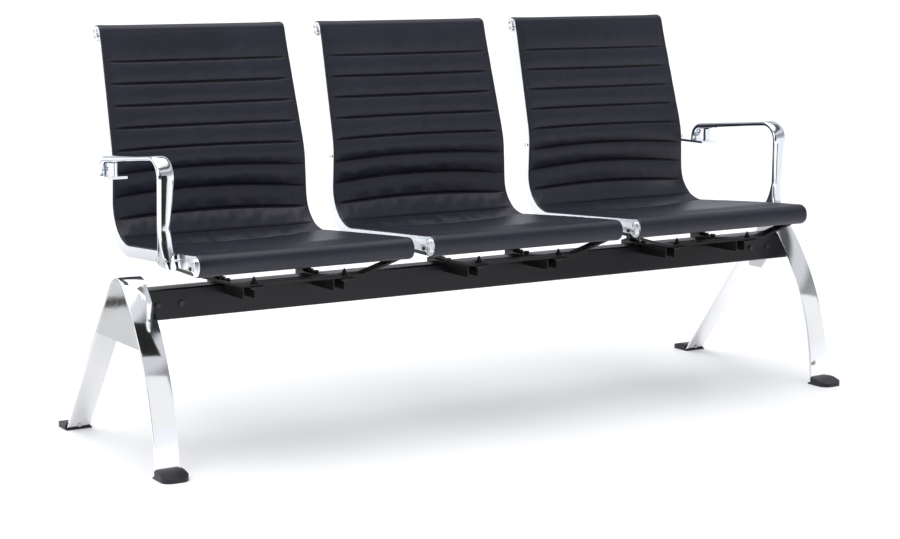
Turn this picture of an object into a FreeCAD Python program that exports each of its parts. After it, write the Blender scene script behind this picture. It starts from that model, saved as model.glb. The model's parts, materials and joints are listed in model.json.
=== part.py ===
import FreeCAD, Part
import math
import os

# Beam seating: ribbed sling seats on one steel beam between two arched legs.
# Millimetres. X runs along the beam, the sitter faces -Y, Z is up and the floor is Z = 0.
# The model is drawn about the beam's centre line, then moved so that the origin is the
# middle of its outline on the floor.

V = FreeCAD.Vector

# Fits
clearance = 0.3
thread_play = 0.15

# Bench layout
seat_count = 3
seat_pitch = 570.0
leg_overhang = 76.0

# Beam: a rectangular tube
beam_height = 67.5
beam_depth = 50.0
beam_wall = 3.0
beam_corner = 4.0
beam_underside = 305.5

# Legs: a flat bar bent over the beam, with a web across its outer side
strap_width = 56.0
strap_thickness = 6.0
front_foot_y = -181.0
rear_foot_y = 342.0
front_foot_lean = 0.8
front_top_lean = 42.4
front_leg_radius = 575.0
rear_leg_lean = 37.8
apex_radius = 45.0
web_thickness = 6.0
web_drop = 43.0
spigot_wall = 4.0
spigot_length = 160.0
leg_screw_places = (75.0, 130.0)
leg_screw_radius = 4.0
leg_screw_length = 16.0
leg_screw_head_radius = 6.5
leg_screw_head_height = 4.0

# Shoes: a block outside the flat bar on a thin sole
shoe_width = 62.0
shoe_toe = 55.0
shoe_height = 18.0
shoe_toe_height = 9.0
shoe_slope_start = 16.0
shoe_sole = 4.0
shoe_heel = 3.0
shoe_corner = 22.0
shoe_screw_radius = 3.0
shoe_screw_height = 11.0
shoe_screw_length = 20.0
shoe_screw_head_radius = 5.5
shoe_screw_head_height = 2.5

# Seat in side view: where its front bar is, and the line that the sling follows
front_bar_y = -177.0
front_bar_z = 442.0
front_bar_radius = 14.8
top_bar_radius = 11.0
pan_slope = 4.0
pan_length = 379.0
bend_radius = 93.0
lower_back_length = 69.0
lumbar_radius = 201.0
back_lean = 16.2
upper_back_length = 268.5
roll_wrap = 215.0

# Seat in front view: half widths of the sling at its top, its bend and its front
top_half_width = 233.0
bend_half_width = 244.5
front_half_width = 255.0
straight_end = 32.0

# Sling: a padded sheet with sewn channels on the back and a smooth pan
rib_count = 9
rib_pitch = 52.3
first_seam = 71.0
crest_half_thickness = 7.0
seam_half_thickness = 3.4
hem_half_thickness = 3.2
edge_half_thickness = 4.0
edge_seam_half_thickness = 3.0
sling_sag = 13.0
side_bulge = 1.5
front_taper = 45.0
top_taper = 8.0

# Side rails: an upright web outside the sling with a ledge under its edge
rail_web = 3.5
rail_lip = 3.0
rail_depth = 22.0
rail_front_depth = 33.0
rail_front_taper = 165.0
ledge_reach = 8.0
ledge_thickness = 5.5
ledge_fall = 1.2
ledge_lap = 1.0
ledge_end_gap = 4.0
ear_margin = 0.6

# End caps and their screws
cap_thickness = 5.0
cap_radius = 9.5
cap_spacing = 14.0
cap_edge = 1.6
cap_screw_spacing = 14.0
cap_screw_radius = 2.2
cap_screw_head_radius = 4.0
cap_screw_head_height = 1.4
cap_screw_depth = 18.0

# Brackets: channels that cross the beam, with raised fronts
bracket_offset = 110.0
bracket_width = 30.0
bracket_plate = 4.0
bracket_side = 3.0
bracket_side_drop = 21.0
bracket_tongue_y = -172.0
bracket_front_y = -124.0
bracket_rear_y = 60.0
bracket_rise = 9.0
bracket_rise_start_y = -30.0
bracket_rise_end_y = -100.0
bracket_bolt_spread = 13.0
bolt_radius = 4.0
bolt_head_radius = 7.2
bolt_head_height = 5.5
bracket_bolt_length = 20.0

# Bows: flat bars that join the rails under the seat
bow_width = 32.0
bow_thickness = 5.0
bow_flat_half = 146.0
front_bow_y = -148.0
rear_bow_y = 38.0
front_bow_plate_rear_y = -30.0
front_bow_lip = 9.0
bow_plate_thickness = 4.0
bow_plate_height = 12.0
rear_bow_plate_height = 10.0
bow_screw_radius = 2.6
bow_screw_head_radius = 4.5
bow_screw_head_height = 2.0

# Spacers and the bolts through them
spacer_side = 18.0
spacer_height = 29.0
spacer_foot_side = 28.0
spacer_foot_height = 3.0
cone_nut_radius = 8.0
cone_nut_tip = 1.2
cone_nut_height = 14.0

# Armrests: a flat loop from the pan's rail to the back's rail
arm_width = 38.0
arm_thickness = 15.0
arm_edge = 6.0
arm_foot_y = -55.0
arm_foot_top = 455.0
arm_foot_bottom = 427.0
arm_foot_reach = 26.0
arm_foot_length = 66.0
arm_neck_z = 508.0
arm_trim_top = 480.0
arm_rise = 104.0
arm_lean = 5.0
arm_front_radius = 42.0
arm_slope = 5.2
arm_top_length = 262.0
arm_rear_radius = 30.0
arm_rear_turn = 84.8
arm_rear_drop = 8.0
arm_plate_thickness = 6.0
arm_plate_front_margin = 2.0
arm_plate_rear_y = 322.0
arm_tab_height = 26.0
arm_tab_thickness = 6.0
arm_boss_radius = 11.0
arm_boss_inset = 43.0
arm_screw_radius = 3.0
arm_screw_head_radius = 6.5
arm_screw_head_height = 3.5
arm_screw_spread = 20.0
arm_foot_screw_length = 28.5
arm_tab_screw_spread = 6.0
arm_end_screw_length = 20.0

# Worked out from the sizes above
beam_top = beam_underside + beam_height
leg_outer_x = seat_count * seat_pitch / 2 + leg_overhang
beam_half_length = leg_outer_x - web_thickness
front_roll_radius = front_bar_radius + clearance + hem_half_thickness
top_roll_radius = top_bar_radius + clearance + hem_half_thickness
front_ear_radius = front_roll_radius + hem_half_thickness + ear_margin
top_ear_radius = top_roll_radius + hem_half_thickness + ear_margin
bracket_top = beam_top + bracket_plate
front_bow_underside = bracket_top + bracket_rise
rear_bow_underside = bracket_top + spacer_height
bolt_hole_radius = bolt_radius + clearance


def between(x, x0, y0, x1, y1):
    """Straight-line value at x, held at its ends."""
    share = min(1.0, max(0.0, (x - x0) / (x1 - x0)))
    return y0 + (y1 - y0) * share


def spread(start, end, steps):
    """Evenly spaced values from start to end, both included."""
    return [start + (end - start) * i / steps for i in range(steps + 1)]


class Path:
    """A flat walk of straight runs and arcs, each tangent to the one before."""

    def __init__(self, start, heading):
        self.pieces = []
        self.ends = []
        self.here = start
        self.heading = math.radians(heading)
        self.length = 0.0

    def add(self, length, curvature):
        piece = (self.length, self.length + length, self.here, self.heading, curvature)
        self.pieces.append(piece)
        self.length += length
        self.ends.append(self.length)
        self.here = self.at(self.length)[0]
        self.heading += curvature * length
        return self

    def run(self, length):
        return self.add(length, 0.0)

    def bend(self, radius, turn):
        """Arc of a given turn in degrees, positive to the left."""
        return self.add(radius * math.radians(abs(turn)), math.copysign(1.0 / radius, turn))

    def at(self, s):
        """Point and heading at a distance along the path."""
        for piece in self.pieces:
            if s <= piece[1]:
                break
        begin, _, (a, b), heading, curvature = piece
        here = s - begin
        if curvature == 0.0:
            return (a + here * math.cos(heading), b + here * math.sin(heading)), heading
        turned = heading + curvature * here
        step_a = (math.sin(turned) - math.sin(heading)) / curvature
        step_b = (math.cos(heading) - math.cos(turned)) / curvature
        return (a + step_a, b + step_b), turned

    def beside(self, s, offset):
        """Point at a distance along the path and a distance to its left."""
        (a, b), heading = self.at(s)
        return a - offset * math.sin(heading), b + offset * math.cos(heading)

    def edges(self, offset, place):
        """Edges of the path moved to its left by the offset."""
        made = []
        for begin, end, _, _, curvature in self.pieces:
            first = place(*self.beside(begin, offset))
            last = place(*self.beside(end, offset))
            if curvature == 0.0:
                made.append(Part.makeLine(first, last))
            else:
                middle = place(*self.beside((begin + end) / 2, offset))
                made.append(Part.Arc(first, middle, last).toShape())
        return made


def ribbon(path, left, right, place, depth):
    """Solid between two offsets of a path, with a depth square to its plane."""
    outer = path.edges(left, place)
    inner = path.edges(right, place)
    caps = [Part.makeLine(outer[0].Vertexes[0].Point, inner[0].Vertexes[0].Point),
            Part.makeLine(outer[-1].Vertexes[-1].Point, inner[-1].Vertexes[-1].Point)]
    wire = Part.Wire(Part.__sortEdges__(outer + inner + caps))
    return Part.Face(wire).extrude(depth)


def polygon_prism(points, depth):
    """Solid from a closed polygon and a depth vector."""
    return Part.Face(Part.makePolygon(points + [points[0]])).extrude(depth)


def side_prism(outline, x_low, x_high):
    """Solid from a side-view outline of (y, z) points between two X values."""
    points = [V(x_low, y, z) for y, z in outline]
    return polygon_prism(points, V(x_high - x_low, 0, 0))


def box(x_range, y_range, z_range):
    """Box from its lower and upper value along each axis."""
    size = [high - low for low, high in (x_range, y_range, z_range)]
    return Part.makeBox(*size, V(x_range[0], y_range[0], z_range[0]))


def rod(radius, start, direction, length):
    """Round bar from a start point along a direction."""
    return Part.makeCylinder(radius, length, start, direction)


def hexagon_prism(radius, start, direction, height):
    """Six-sided prism about an axis along X, Y or Z."""
    turned = FreeCAD.Rotation(V(0, 0, 1), direction)
    angles = [k * math.pi / 3 for k in range(6)]
    flat = [V(radius * math.cos(a), radius * math.sin(a), 0) for a in angles]
    return polygon_prism([turned.multVec(point) + start for point in flat], direction * height)


def screw(radius, length, head_radius, head_height, seat, direction):
    """Round-headed screw: its head stands on the seat point, its shank runs the other way."""
    head = rod(head_radius, seat, direction, head_height)
    edge = min(head_height * 0.45, head_radius * 0.3)
    rim = [e for e in head.Edges if abs((e.CenterOfMass - seat).dot(direction) - head_height) < 1e-6
           and e.Curve.TypeId == "Part::GeomCircle"]
    return rounded(head, edge, rim).fuse(rod(radius, seat, -direction, length))


def hex_bolt(radius, length, head_radius, head_height, seat, direction):
    """Six-sided bolt: its head stands on the seat point, its shank runs the other way."""
    head = hexagon_prism(head_radius, seat, direction, head_height)
    return head.fuse(rod(radius, seat, -direction, length))


def in_side_view(x):
    """Placing function for paths of (y, z) points at one X."""
    return lambda y, z: V(x, y, z)


def rounded(solid, radius, edges):
    """The solid with the given edges rounded."""
    return solid.makeFillet(radius, edges).Solids[0]


def rounded_wire(corners, radius):
    """Closed wire through square corners, each with an arc."""
    arcs = []
    for k, here in enumerate(corners):
        to_before = (corners[k - 1] - here).normalize() * radius
        to_after = (corners[(k + 1) % len(corners)] - here).normalize() * radius
        middle = here + (to_before + to_after) * (1 - math.sqrt(0.5))
        arcs.append((here + to_before, middle, here + to_after))
    edges = []
    for k, arc in enumerate(arcs):
        edges.append(Part.Arc(*arc).toShape())
        edges.append(Part.makeLine(arc[2], arcs[(k + 1) % len(arcs)][0]))
    return Part.Wire(edges)


def one_solid(shape):
    """The single solid of a fused or cut shape."""
    clean = shape.removeSplitter()
    if len(clean.Solids) != 1:
        raise ValueError("expected one solid, found %d" % len(clean.Solids))
    return clean.Solids[0]


# Seat side line

def make_seat_path():
    """Side line of the sling from its front hem, over the front bar, to its top hem."""
    tail_heading = roll_wrap - pan_slope
    angle = math.radians(tail_heading)
    start_y = front_bar_y - front_roll_radius * math.sin(angle)
    start_z = front_bar_z + front_roll_radius * math.cos(angle)
    path = Path((start_y, start_z), tail_heading)
    path.bend(front_roll_radius, -roll_wrap)
    path.run(pan_length)
    path.bend(bend_radius, 90.0 + pan_slope)
    path.run(lower_back_length)
    path.bend(lumbar_radius, -back_lean)
    path.run(upper_back_length)
    path.bend(top_roll_radius, -roll_wrap)
    return path


seat_path = make_seat_path()
s_front, s_pan, s_bend, s_lower, s_lumbar, s_top, s_end = seat_path.ends
top_bar_y, top_bar_z = seat_path.beside(s_top, -top_roll_radius)
front_ledge_s = s_front + front_roll_radius + hem_half_thickness + ledge_end_gap
top_ledge_s = s_top - top_roll_radius - hem_half_thickness - ledge_end_gap


def s_at_pan_y(y):
    """Distance along the side line of the pan's point at one Y."""
    (start_y, _), heading = seat_path.at(s_front)
    return s_front + (y - start_y) / math.cos(heading)


def half_width(s):
    """Half width of the sling: widest at the front, narrowest at the top."""
    if s < s_pan:
        return between(s, s_front + straight_end, front_half_width, s_pan, bend_half_width)
    return between(s, s_bend, bend_half_width, s_top - straight_end, top_half_width)


def web_inner(s):
    """Distance from the seat's middle to the inner face of a rail's web."""
    return half_width(s) + clearance


def web_outer(s):
    """Distance from the seat's middle to the outer face of a rail's web."""
    return web_inner(s) + rail_web


def web_bottom(s):
    """Offset of a rail's lower edge from the side line."""
    return -between(s, s_front, rail_front_depth, s_front + rail_front_taper, rail_depth)


def seat_point(centre_x, s, across, offset):
    """Point of a seat from its middle, its side line and the offset towards the sitter."""
    y, z = seat_path.beside(s, offset)
    return V(centre_x + across, y, z)


# Sling

def seam_places():
    """Distances along the side line of the sewn seams, from the pan upwards."""
    places = [s_top - first_seam - rib_pitch * k for k in range(rib_count + 1)]
    return sorted(places)


def middle_half_thickness(s):
    """Half thickness of the sling at its middle: thin at hems and seams, full between."""
    seams = seam_places()
    if s <= s_front or s >= s_top:
        return hem_half_thickness
    if s < seams[0]:
        full = between(s, s_front, hem_half_thickness, s_front + front_taper, crest_half_thickness)
        return between(s, seams[0] - rib_pitch / 2, full, seams[0], seam_half_thickness)
    if s >= seams[-1]:
        share = between(s, seams[-1], 0.0, s_top - top_taper, 1.0)
        rise = abs(math.sin(math.pi * share)) ** 0.6
        return between(share, 0.0, seam_half_thickness, 1.0, hem_half_thickness) + rise * (
            crest_half_thickness - seam_half_thickness)
    share = (s - seams[0]) / rib_pitch % 1.0
    rise = abs(math.sin(math.pi * share)) ** 0.6
    return seam_half_thickness + rise * (crest_half_thickness - seam_half_thickness)


def edge_top(s):
    """Offset of the sling's upper face at its side edges."""
    full = middle_half_thickness(s) - seam_half_thickness
    share = max(0.0, full / (crest_half_thickness - seam_half_thickness))
    return edge_seam_half_thickness + share * (edge_half_thickness - edge_seam_half_thickness)


def sag(s):
    """How far the sling's middle hangs below the line between its edges."""
    share = between(s, s_front + straight_end, 0.0, s_top - straight_end, 1.0)
    return sling_sag * math.sin(math.pi * share)


def sling_section(centre_x, s):
    """Closed section square to the side line: crowned faces and drawn-in sides."""
    edge = half_width(s) - side_bulge
    top, bottom = edge_top(s), -edge_half_thickness
    if s <= s_front or s >= s_top:
        bottom = -edge_seam_half_thickness
    middle_top = middle_half_thickness(s) - sag(s)
    middle_bottom = -middle_half_thickness(s) - sag(s)
    side_middle = (top + bottom) / 2
    point = lambda across, offset: seat_point(centre_x, s, across, offset)
    arcs = [Part.Arc(point(-edge, top), point(0, middle_top), point(edge, top)),
            Part.Arc(point(edge, top), point(edge + side_bulge, side_middle), point(edge, bottom)),
            Part.Arc(point(edge, bottom), point(0, middle_bottom), point(-edge, bottom)),
            Part.Arc(point(-edge, bottom), point(-edge - side_bulge, side_middle), point(-edge, top))]
    return Part.Wire([arc.toShape() for arc in arcs])


def make_sling(centre_x):
    """The padded seat and back in one piece, rolled round both bars."""
    roll_steps, pan_steps, rib_steps = 15, 10, 6
    seams = seam_places()
    marks = spread(0.0, s_front, roll_steps) + spread(s_front, seams[0], pan_steps)
    for lower, upper in zip(seams, seams[1:] + [s_top - top_taper]):
        marks += spread(lower, upper, rib_steps)
    marks += [s_front + straight_end, s_top - straight_end] + spread(s_top, s_end, roll_steps)
    marks = sorted(set(round(s, 6) for s in marks))
    sections = [sling_section(centre_x, s) for s in marks]
    return Part.makeLoft(sections, True, True)


# Side rails

def rail_marks(start, end):
    """Distances along the side line where a rail has a section."""
    marks = [start, s_front + straight_end, s_front + rail_front_taper, s_top - straight_end, end]
    marks += spread(s_pan, s_bend, 16) + spread(s_lower, s_lumbar, 5)
    return sorted(set(round(s, 6) for s in marks if start <= s <= end))


def rail_strip(centre_x, side, start, end, corners):
    """Ruled solid along the side line, from a function that gives each section's corners."""
    sections = []
    for s in rail_marks(start, end):
        points = [seat_point(centre_x, s, side * across, offset) for across, offset in corners(s)]
        sections.append(Part.makePolygon(points + [points[0]]))
    return Part.makeLoft(sections, True, True)


def web_corners(s):
    inner, outer = web_inner(s), web_outer(s)
    return [(inner, rail_lip), (outer, rail_lip), (outer, web_bottom(s)), (inner, web_bottom(s))]


def ledge_corners(s):
    tip, root = half_width(s) - ledge_reach, web_inner(s) + ledge_lap
    face = -edge_half_thickness - clearance
    under = face - ledge_thickness
    return [(root, face), (root, under), (tip, under), (tip, face - ledge_fall)]


def ear(centre_x, side, bar_y, bar_z, radius, s):
    """Round plate at a rail's end that holds a bar."""
    start = V(centre_x + side * web_inner(s), bar_y, bar_z)
    return rod(radius, start, V(side, 0, 0), rail_web)


def cap_places():
    """Bar centre, screw line and distance along the side line of both ends of a rail."""
    front_normal = math.radians(90.0 - pan_slope)
    top_tangent = math.radians(90.0 - back_lean)
    return [(front_bar_y, front_bar_z, front_normal, s_front), (top_bar_y, top_bar_z, top_tangent, s_top)]


def cap_screw_points():
    """Side-view points of the screws of one side, with their distance along the side line."""
    points = []
    for bar_y, bar_z, angle, s in cap_places():
        for sign in (-1, 1):
            reach = sign * cap_screw_spacing / 2
            points.append((bar_y + reach * math.cos(angle), bar_z + reach * math.sin(angle), s))
    return points


def bow_screw_points():
    """Side-view points of the screws that hold the bows to a rail."""
    points = []
    for y, height in ((front_bow_y, bow_plate_height), (rear_bow_y, rear_bow_plate_height)):
        s = s_at_pan_y(y)
        drop = web_bottom(s) + height / 2
        along, up = seat_path.beside(s, drop)
        points.append((along, up, s))
    return points


def arm_foot_points():
    """Side-view points of the armrest's two screws in the pan's rail."""
    z = arm_foot_bottom + (arm_foot_top - arm_foot_bottom) / 2
    return [(arm_foot_y + sign * arm_screw_spread, z) for sign in (-1, 1)]


def arm_tab_points():
    """Side-view points of the armrest bracket's two screws in the back's rail."""
    z = arm_plate_z + arm_plate_thickness + arm_tab_height / 4
    y = seat_path.beside(back_s(z), (rail_lip - rail_depth) / 2)[0]
    return [(y + sign * arm_tab_screw_spread, z) for sign in (-1, 1)]


def back_s(z):
    """Distance along the side line of the back's point at one height."""
    low, high = s_bend, s_top
    for _ in range(40):
        middle = (low + high) / 2
        if seat_path.at(middle)[0][1] < z:
            low = middle
        else:
            high = middle
    return low


def cross_hole(centre_x, side, y, z, radius):
    """Cutter along X through one side of a seat."""
    return rod(radius, V(centre_x + side * top_half_width / 2, y, z), V(side, 0, 0), front_half_width)


def make_rail(centre_x, side):
    """One bent side rail with its ledge, its two ears and its screw holes."""
    web = rail_strip(centre_x, side, s_front, s_top, web_corners)
    ledge = rail_strip(centre_x, side, front_ledge_s, top_ledge_s, ledge_corners)
    front_ear = ear(centre_x, side, front_bar_y, front_bar_z, front_ear_radius, s_front)
    top_ear = ear(centre_x, side, top_bar_y, top_bar_z, top_ear_radius, s_top)
    rail = web.fuse([ledge, front_ear, top_ear])
    sizes = [(y, z, cap_screw_radius) for y, z, _ in cap_screw_points()]
    sizes += [(y, z, bow_screw_radius) for y, z, _ in bow_screw_points()]
    sizes += [(y, z, arm_screw_radius) for y, z in arm_foot_points() + arm_tab_points()]
    holes = [cross_hole(centre_x, side, y, z, radius + thread_play) for y, z, radius in sizes]
    return one_solid(rail.cut(holes))


# Bars, caps and cap screws

def make_bar(centre_x, bar_y, bar_z, radius, s):
    """Round bar between the two rails' ears, tapped at both ends."""
    half = web_inner(s)
    bar = rod(radius, V(centre_x - half, bar_y, bar_z), V(1, 0, 0), 2 * half)
    hole_radius, depth = cap_screw_radius + thread_play, cap_screw_depth + clearance
    for y, z, place in cap_screw_points():
        if place != s:
            continue
        for side in (-1, 1):
            mouth = V(centre_x + side * half, y, z)
            bar = bar.cut(rod(hole_radius, mouth, V(-side, 0, 0), depth))
    return one_solid(bar)


def make_cap(centre_x, side, bar_y, bar_z, angle, s):
    """Oval cover on a rail's ear, rounded at its outer edge."""
    along = V(0, math.cos(angle), math.sin(angle))
    across = V(0, -math.sin(angle), math.cos(angle))
    centre = V(centre_x + side * (web_outer(s) + clearance), bar_y, bar_z)
    reach, radius = cap_spacing / 2, cap_radius
    upper, lower = centre + along * reach, centre - along * reach
    edges = [Part.makeLine(lower + across * radius, upper + across * radius),
             Part.Arc(upper + across * radius, upper + along * radius, upper - across * radius).toShape(),
             Part.makeLine(upper - across * radius, lower - across * radius),
             Part.Arc(lower - across * radius, lower - along * radius, lower + across * radius).toShape()]
    cap = Part.Face(Part.Wire(edges)).extrude(V(side * cap_thickness, 0, 0))
    outer_x = centre.x + side * cap_thickness
    rim = [e for e in cap.Edges if all(abs(v.Point.x - outer_x) < 1e-6 for v in e.Vertexes)]
    cap = rounded(cap, cap_edge, rim)
    for y, z, place in cap_screw_points():
        if place == s:
            cap = cap.cut(cross_hole(centre_x, side, y, z, cap_screw_radius + thread_play))
    return one_solid(cap)


def make_cap_screws(centre_x):
    """Screws through the caps and ears into the bars."""
    length = cap_thickness + clearance + rail_web + cap_screw_depth
    screws = []
    for side in (-1, 1):
        for y, z, s in cap_screw_points():
            seat = V(centre_x + side * (web_outer(s) + clearance + cap_thickness), y, z)
            screws.append(screw(cap_screw_radius, length, cap_screw_head_radius, cap_screw_head_height,
                                seat, V(side, 0, 0)))
    return Part.makeCompound(screws)


# Brackets, bows and spacers

def bracket_line(y):
    """Height of a bracket plate's underside: flat over the beam, raised at the front."""
    return beam_top + between(-y, -bracket_rise_start_y, 0.0, -bracket_rise_end_y, bracket_rise)


def make_bracket(x):
    """Channel that crosses the beam, open below, notched for the beam."""
    low, high = x - bracket_width / 2, x + bracket_width / 2
    line = [bracket_rear_y, bracket_rise_start_y, bracket_rise_end_y, bracket_tongue_y]
    under = [(y, bracket_line(y)) for y in line]
    plate = side_prism(under + [(y, z + bracket_plate) for y, z in reversed(under)], low, high)
    notch = beam_depth / 2 + clearance
    edge = beam_top - bracket_side_drop
    corner = (bracket_front_y, bracket_line(bracket_front_y))
    front = [(-notch, beam_top)] + under[1:3] + [corner, (bracket_front_y, edge), (-notch, edge)]
    rear = [(bracket_rear_y, beam_top), (notch, beam_top), (notch, edge), (bracket_rear_y, edge)]
    walls = []
    for profile in (front, rear):
        walls.append(side_prism(profile, low, low + bracket_side))
        walls.append(side_prism(profile, high - bracket_side, high))
    bracket = plate.fuse(walls)
    for y in (front_bow_y, rear_bow_y, -bracket_bolt_spread, bracket_bolt_spread):
        bracket = bracket.cut(rod(bolt_hole_radius, V(x, y, 0), V(0, 0, 1), 2 * beam_top))
    return one_solid(bracket)


def bracket_centres(centre_x):
    return [centre_x - bracket_offset, centre_x + bracket_offset]


def bow_plate(centre_x, side, first_y, last_y, lower, height):
    """Plate along the inner face of a rail's web, between two offsets from its lower edge."""
    sections = []
    for y in (first_y, last_y):
        s = s_at_pan_y(y)
        bottom = web_bottom(s) + lower
        inner, outer = web_inner(s) - bow_plate_thickness, web_inner(s)
        corners = [(inner, bottom), (outer, bottom), (outer, bottom + height), (inner, bottom + height)]
        points = [seat_point(centre_x, s, side * across, offset) for across, offset in corners]
        sections.append(Part.makePolygon(points + [points[0]]))
    return Part.makeLoft(sections, True, True)


def make_bow(centre_x, y, underside, first_y, last_y, lower, height):
    """Flat bar with raised ends, and the plates that meet the two rails."""
    s = s_at_pan_y(y)
    end_x = web_inner(s) - bow_plate_thickness / 2
    end_z = seat_path.beside(s, web_bottom(s) + lower + bow_thickness / 2)[1]
    middle_z = underside + bow_thickness / 2
    half = bow_thickness / 2
    angle = math.atan2(end_z - middle_z, end_x - bow_flat_half)
    shift = half * math.tan(angle / 2)
    back = y - bow_width / 2
    upper = [(-end_x, end_z + half), (-bow_flat_half - shift, middle_z + half)]
    lower_line = [(-end_x, end_z - half), (-bow_flat_half + shift, middle_z - half)]
    outline = upper + [(-x, z) for x, z in reversed(upper)]
    outline += [(-x, z) for x, z in lower_line] + list(reversed(lower_line))
    points = [V(centre_x + x, back, z) for x, z in outline]
    bar = polygon_prism(points, V(0, bow_width, 0))
    plates = [bow_plate(centre_x, side, first_y, last_y, lower, height) for side in (-1, 1)]
    bow = bar.fuse(plates)
    for x in bracket_centres(centre_x):
        bow = bow.cut(rod(bolt_hole_radius, V(x, y, 0), V(0, 0, 1), 2 * beam_top))
    for side in (-1, 1):
        for screw_y, screw_z, place in bow_screw_points():
            if place == s:
                bow = bow.cut(cross_hole(centre_x, side, screw_y, screw_z, bow_screw_radius + thread_play))
    return one_solid(bow)


def make_front_bow(centre_x):
    first_y = seat_path.at(front_ledge_s)[0][0]
    height = bow_plate_height + front_bow_lip
    return make_bow(centre_x, front_bow_y, front_bow_underside, first_y, front_bow_plate_rear_y,
                    -front_bow_lip, height)


def make_rear_bow(centre_x):
    half = bow_width / 2
    return make_bow(centre_x, rear_bow_y, rear_bow_underside, rear_bow_y - half, rear_bow_y + half,
                    0.0, rear_bow_plate_height)


def make_spacers(centre_x):
    """Square posts with a wider foot, between the brackets and the rear bow."""
    posts = []
    for x in bracket_centres(centre_x):
        post_half, foot_half = spacer_side / 2, spacer_foot_side / 2
        post = box((x - post_half, x + post_half), (rear_bow_y - post_half, rear_bow_y + post_half),
                   (bracket_top, rear_bow_underside))
        foot = box((x - foot_half, x + foot_half), (rear_bow_y - foot_half, rear_bow_y + foot_half),
                   (bracket_top, bracket_top + spacer_foot_height))
        whole = post.fuse(foot).cut(rod(bolt_hole_radius, V(x, rear_bow_y, 0), V(0, 0, 1), 2 * beam_top))
        posts.append(one_solid(whole))
    return Part.makeCompound(posts)


def through_bolt(x, y, low, high, top_piece):
    """Bolt with a six-sided head under a plate, its shank up to the piece on top."""
    shank = rod(bolt_radius, V(x, y, low), V(0, 0, 1), high - low)
    head = hexagon_prism(bolt_head_radius, V(x, y, low), V(0, 0, -1), bolt_head_height)
    return one_solid(shank.fuse([head, top_piece]))


def make_bow_bolts(centre_x):
    """Bolts of one seat: pointed nuts on the front bow, six-sided nuts on the rear bow."""
    up = V(0, 0, 1)
    bolts = []
    for x in bracket_centres(centre_x):
        front_top = front_bow_underside + bow_thickness
        cone = Part.makeCone(cone_nut_radius, cone_nut_tip, cone_nut_height, V(x, front_bow_y, front_top), up)
        bolts.append(through_bolt(x, front_bow_y, bracket_line(front_bow_y), front_top, cone))
        rear_top = rear_bow_underside + bow_thickness
        nut = hexagon_prism(bolt_head_radius, V(x, rear_bow_y, rear_top), up, bolt_head_height)
        bolts.append(through_bolt(x, rear_bow_y, bracket_line(rear_bow_y), rear_top, nut))
    return Part.makeCompound(bolts)


def seat_centres():
    return [(k - (seat_count - 1) / 2) * seat_pitch for k in range(seat_count)]


def make_bracket_bolts():
    """Bolts from all the brackets into the beam."""
    bolts = []
    for centre_x in seat_centres():
        for x in bracket_centres(centre_x):
            for sign in (-1, 1):
                seat = V(x, sign * bracket_bolt_spread, bracket_top)
                bolts.append(hex_bolt(bolt_radius, bracket_bolt_length, bolt_head_radius, bolt_head_height,
                                      seat, V(0, 0, 1)))
    return Part.makeCompound(bolts)


def make_bow_screws():
    """Screws from outside through the rails into the bows' plates."""
    screws = []
    for centre_x in seat_centres():
        for side in (-1, 1):
            for y, z, s in bow_screw_points():
                seat = V(centre_x + side * (web_outer(s) + clearance), y, z)
                length = clearance + rail_web + bow_plate_thickness
                screws.append(screw(bow_screw_radius, length, bow_screw_head_radius, bow_screw_head_height,
                                    seat, V(side, 0, 0)))
    return Part.makeCompound(screws)


# Beam

def leg_screw_centres():
    """Points on the beam's front face where the leg screws sit."""
    z = beam_underside + beam_height / 2
    return [V(side * (beam_half_length - place), -beam_depth / 2, z)
            for side in (-1, 1) for place in leg_screw_places]


def make_beam():
    """Rectangular tube with its leg screw holes and bracket bolt holes."""
    half_y, half_x = beam_depth / 2, beam_half_length
    outer = box((-half_x, half_x), (-half_y, half_y), (beam_underside, beam_top))
    long_edges = [e for e in outer.Edges if abs(e.Vertexes[0].Point.x - e.Vertexes[-1].Point.x) > half_x]
    outer = rounded(outer, beam_corner, long_edges)
    inner = box((-half_x, half_x), (-half_y + beam_wall, half_y - beam_wall),
                (beam_underside + beam_wall, beam_top - beam_wall))
    holes = [rod(leg_screw_radius + thread_play, point, V(0, 1, 0), beam_depth / 2)
             for point in leg_screw_centres()]
    for centre_x in seat_centres():
        for x in bracket_centres(centre_x):
            for sign in (-1, 1):
                start = V(x, sign * bracket_bolt_spread, beam_underside + beam_height / 2)
                holes.append(rod(bolt_hole_radius, start, V(0, 0, 1), beam_height))
    return one_solid(outer.cut([inner] + holes))


# Legs

def make_leg_path():
    """Outer face of the flat bar in side view, from the front foot over the beam to the rear foot."""
    path = Path((front_foot_y, 0.0), 90.0 - front_foot_lean)
    path.bend(front_leg_radius, front_foot_lean - front_top_lean)
    # The straight runs beside the apex close the path on the rear foot
    rise = math.radians(90.0 - front_top_lean)
    fall = math.radians(rear_leg_lean - 90.0)
    turn_y = apex_radius * (math.sin(rise) - math.sin(fall))
    turn_z = apex_radius * (math.cos(fall) - math.cos(rise))
    gap_y = rear_foot_y - path.here[0] - turn_y
    gap_z = -path.here[1] - turn_z
    det = math.cos(rise) * math.sin(fall) - math.sin(rise) * math.cos(fall)
    front_run = (gap_y * math.sin(fall) - gap_z * math.cos(fall)) / det
    rear_run = (math.cos(rise) * gap_z - math.sin(rise) * gap_y) / det
    path.run(front_run)
    path.bend(apex_radius, -(180.0 - front_top_lean - rear_leg_lean))
    path.run(rear_run)
    return path


leg_path = make_leg_path()


def leg_range(side):
    """Lower and higher X of a leg."""
    return sorted((side * leg_outer_x, side * (leg_outer_x - strap_width)))


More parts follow.
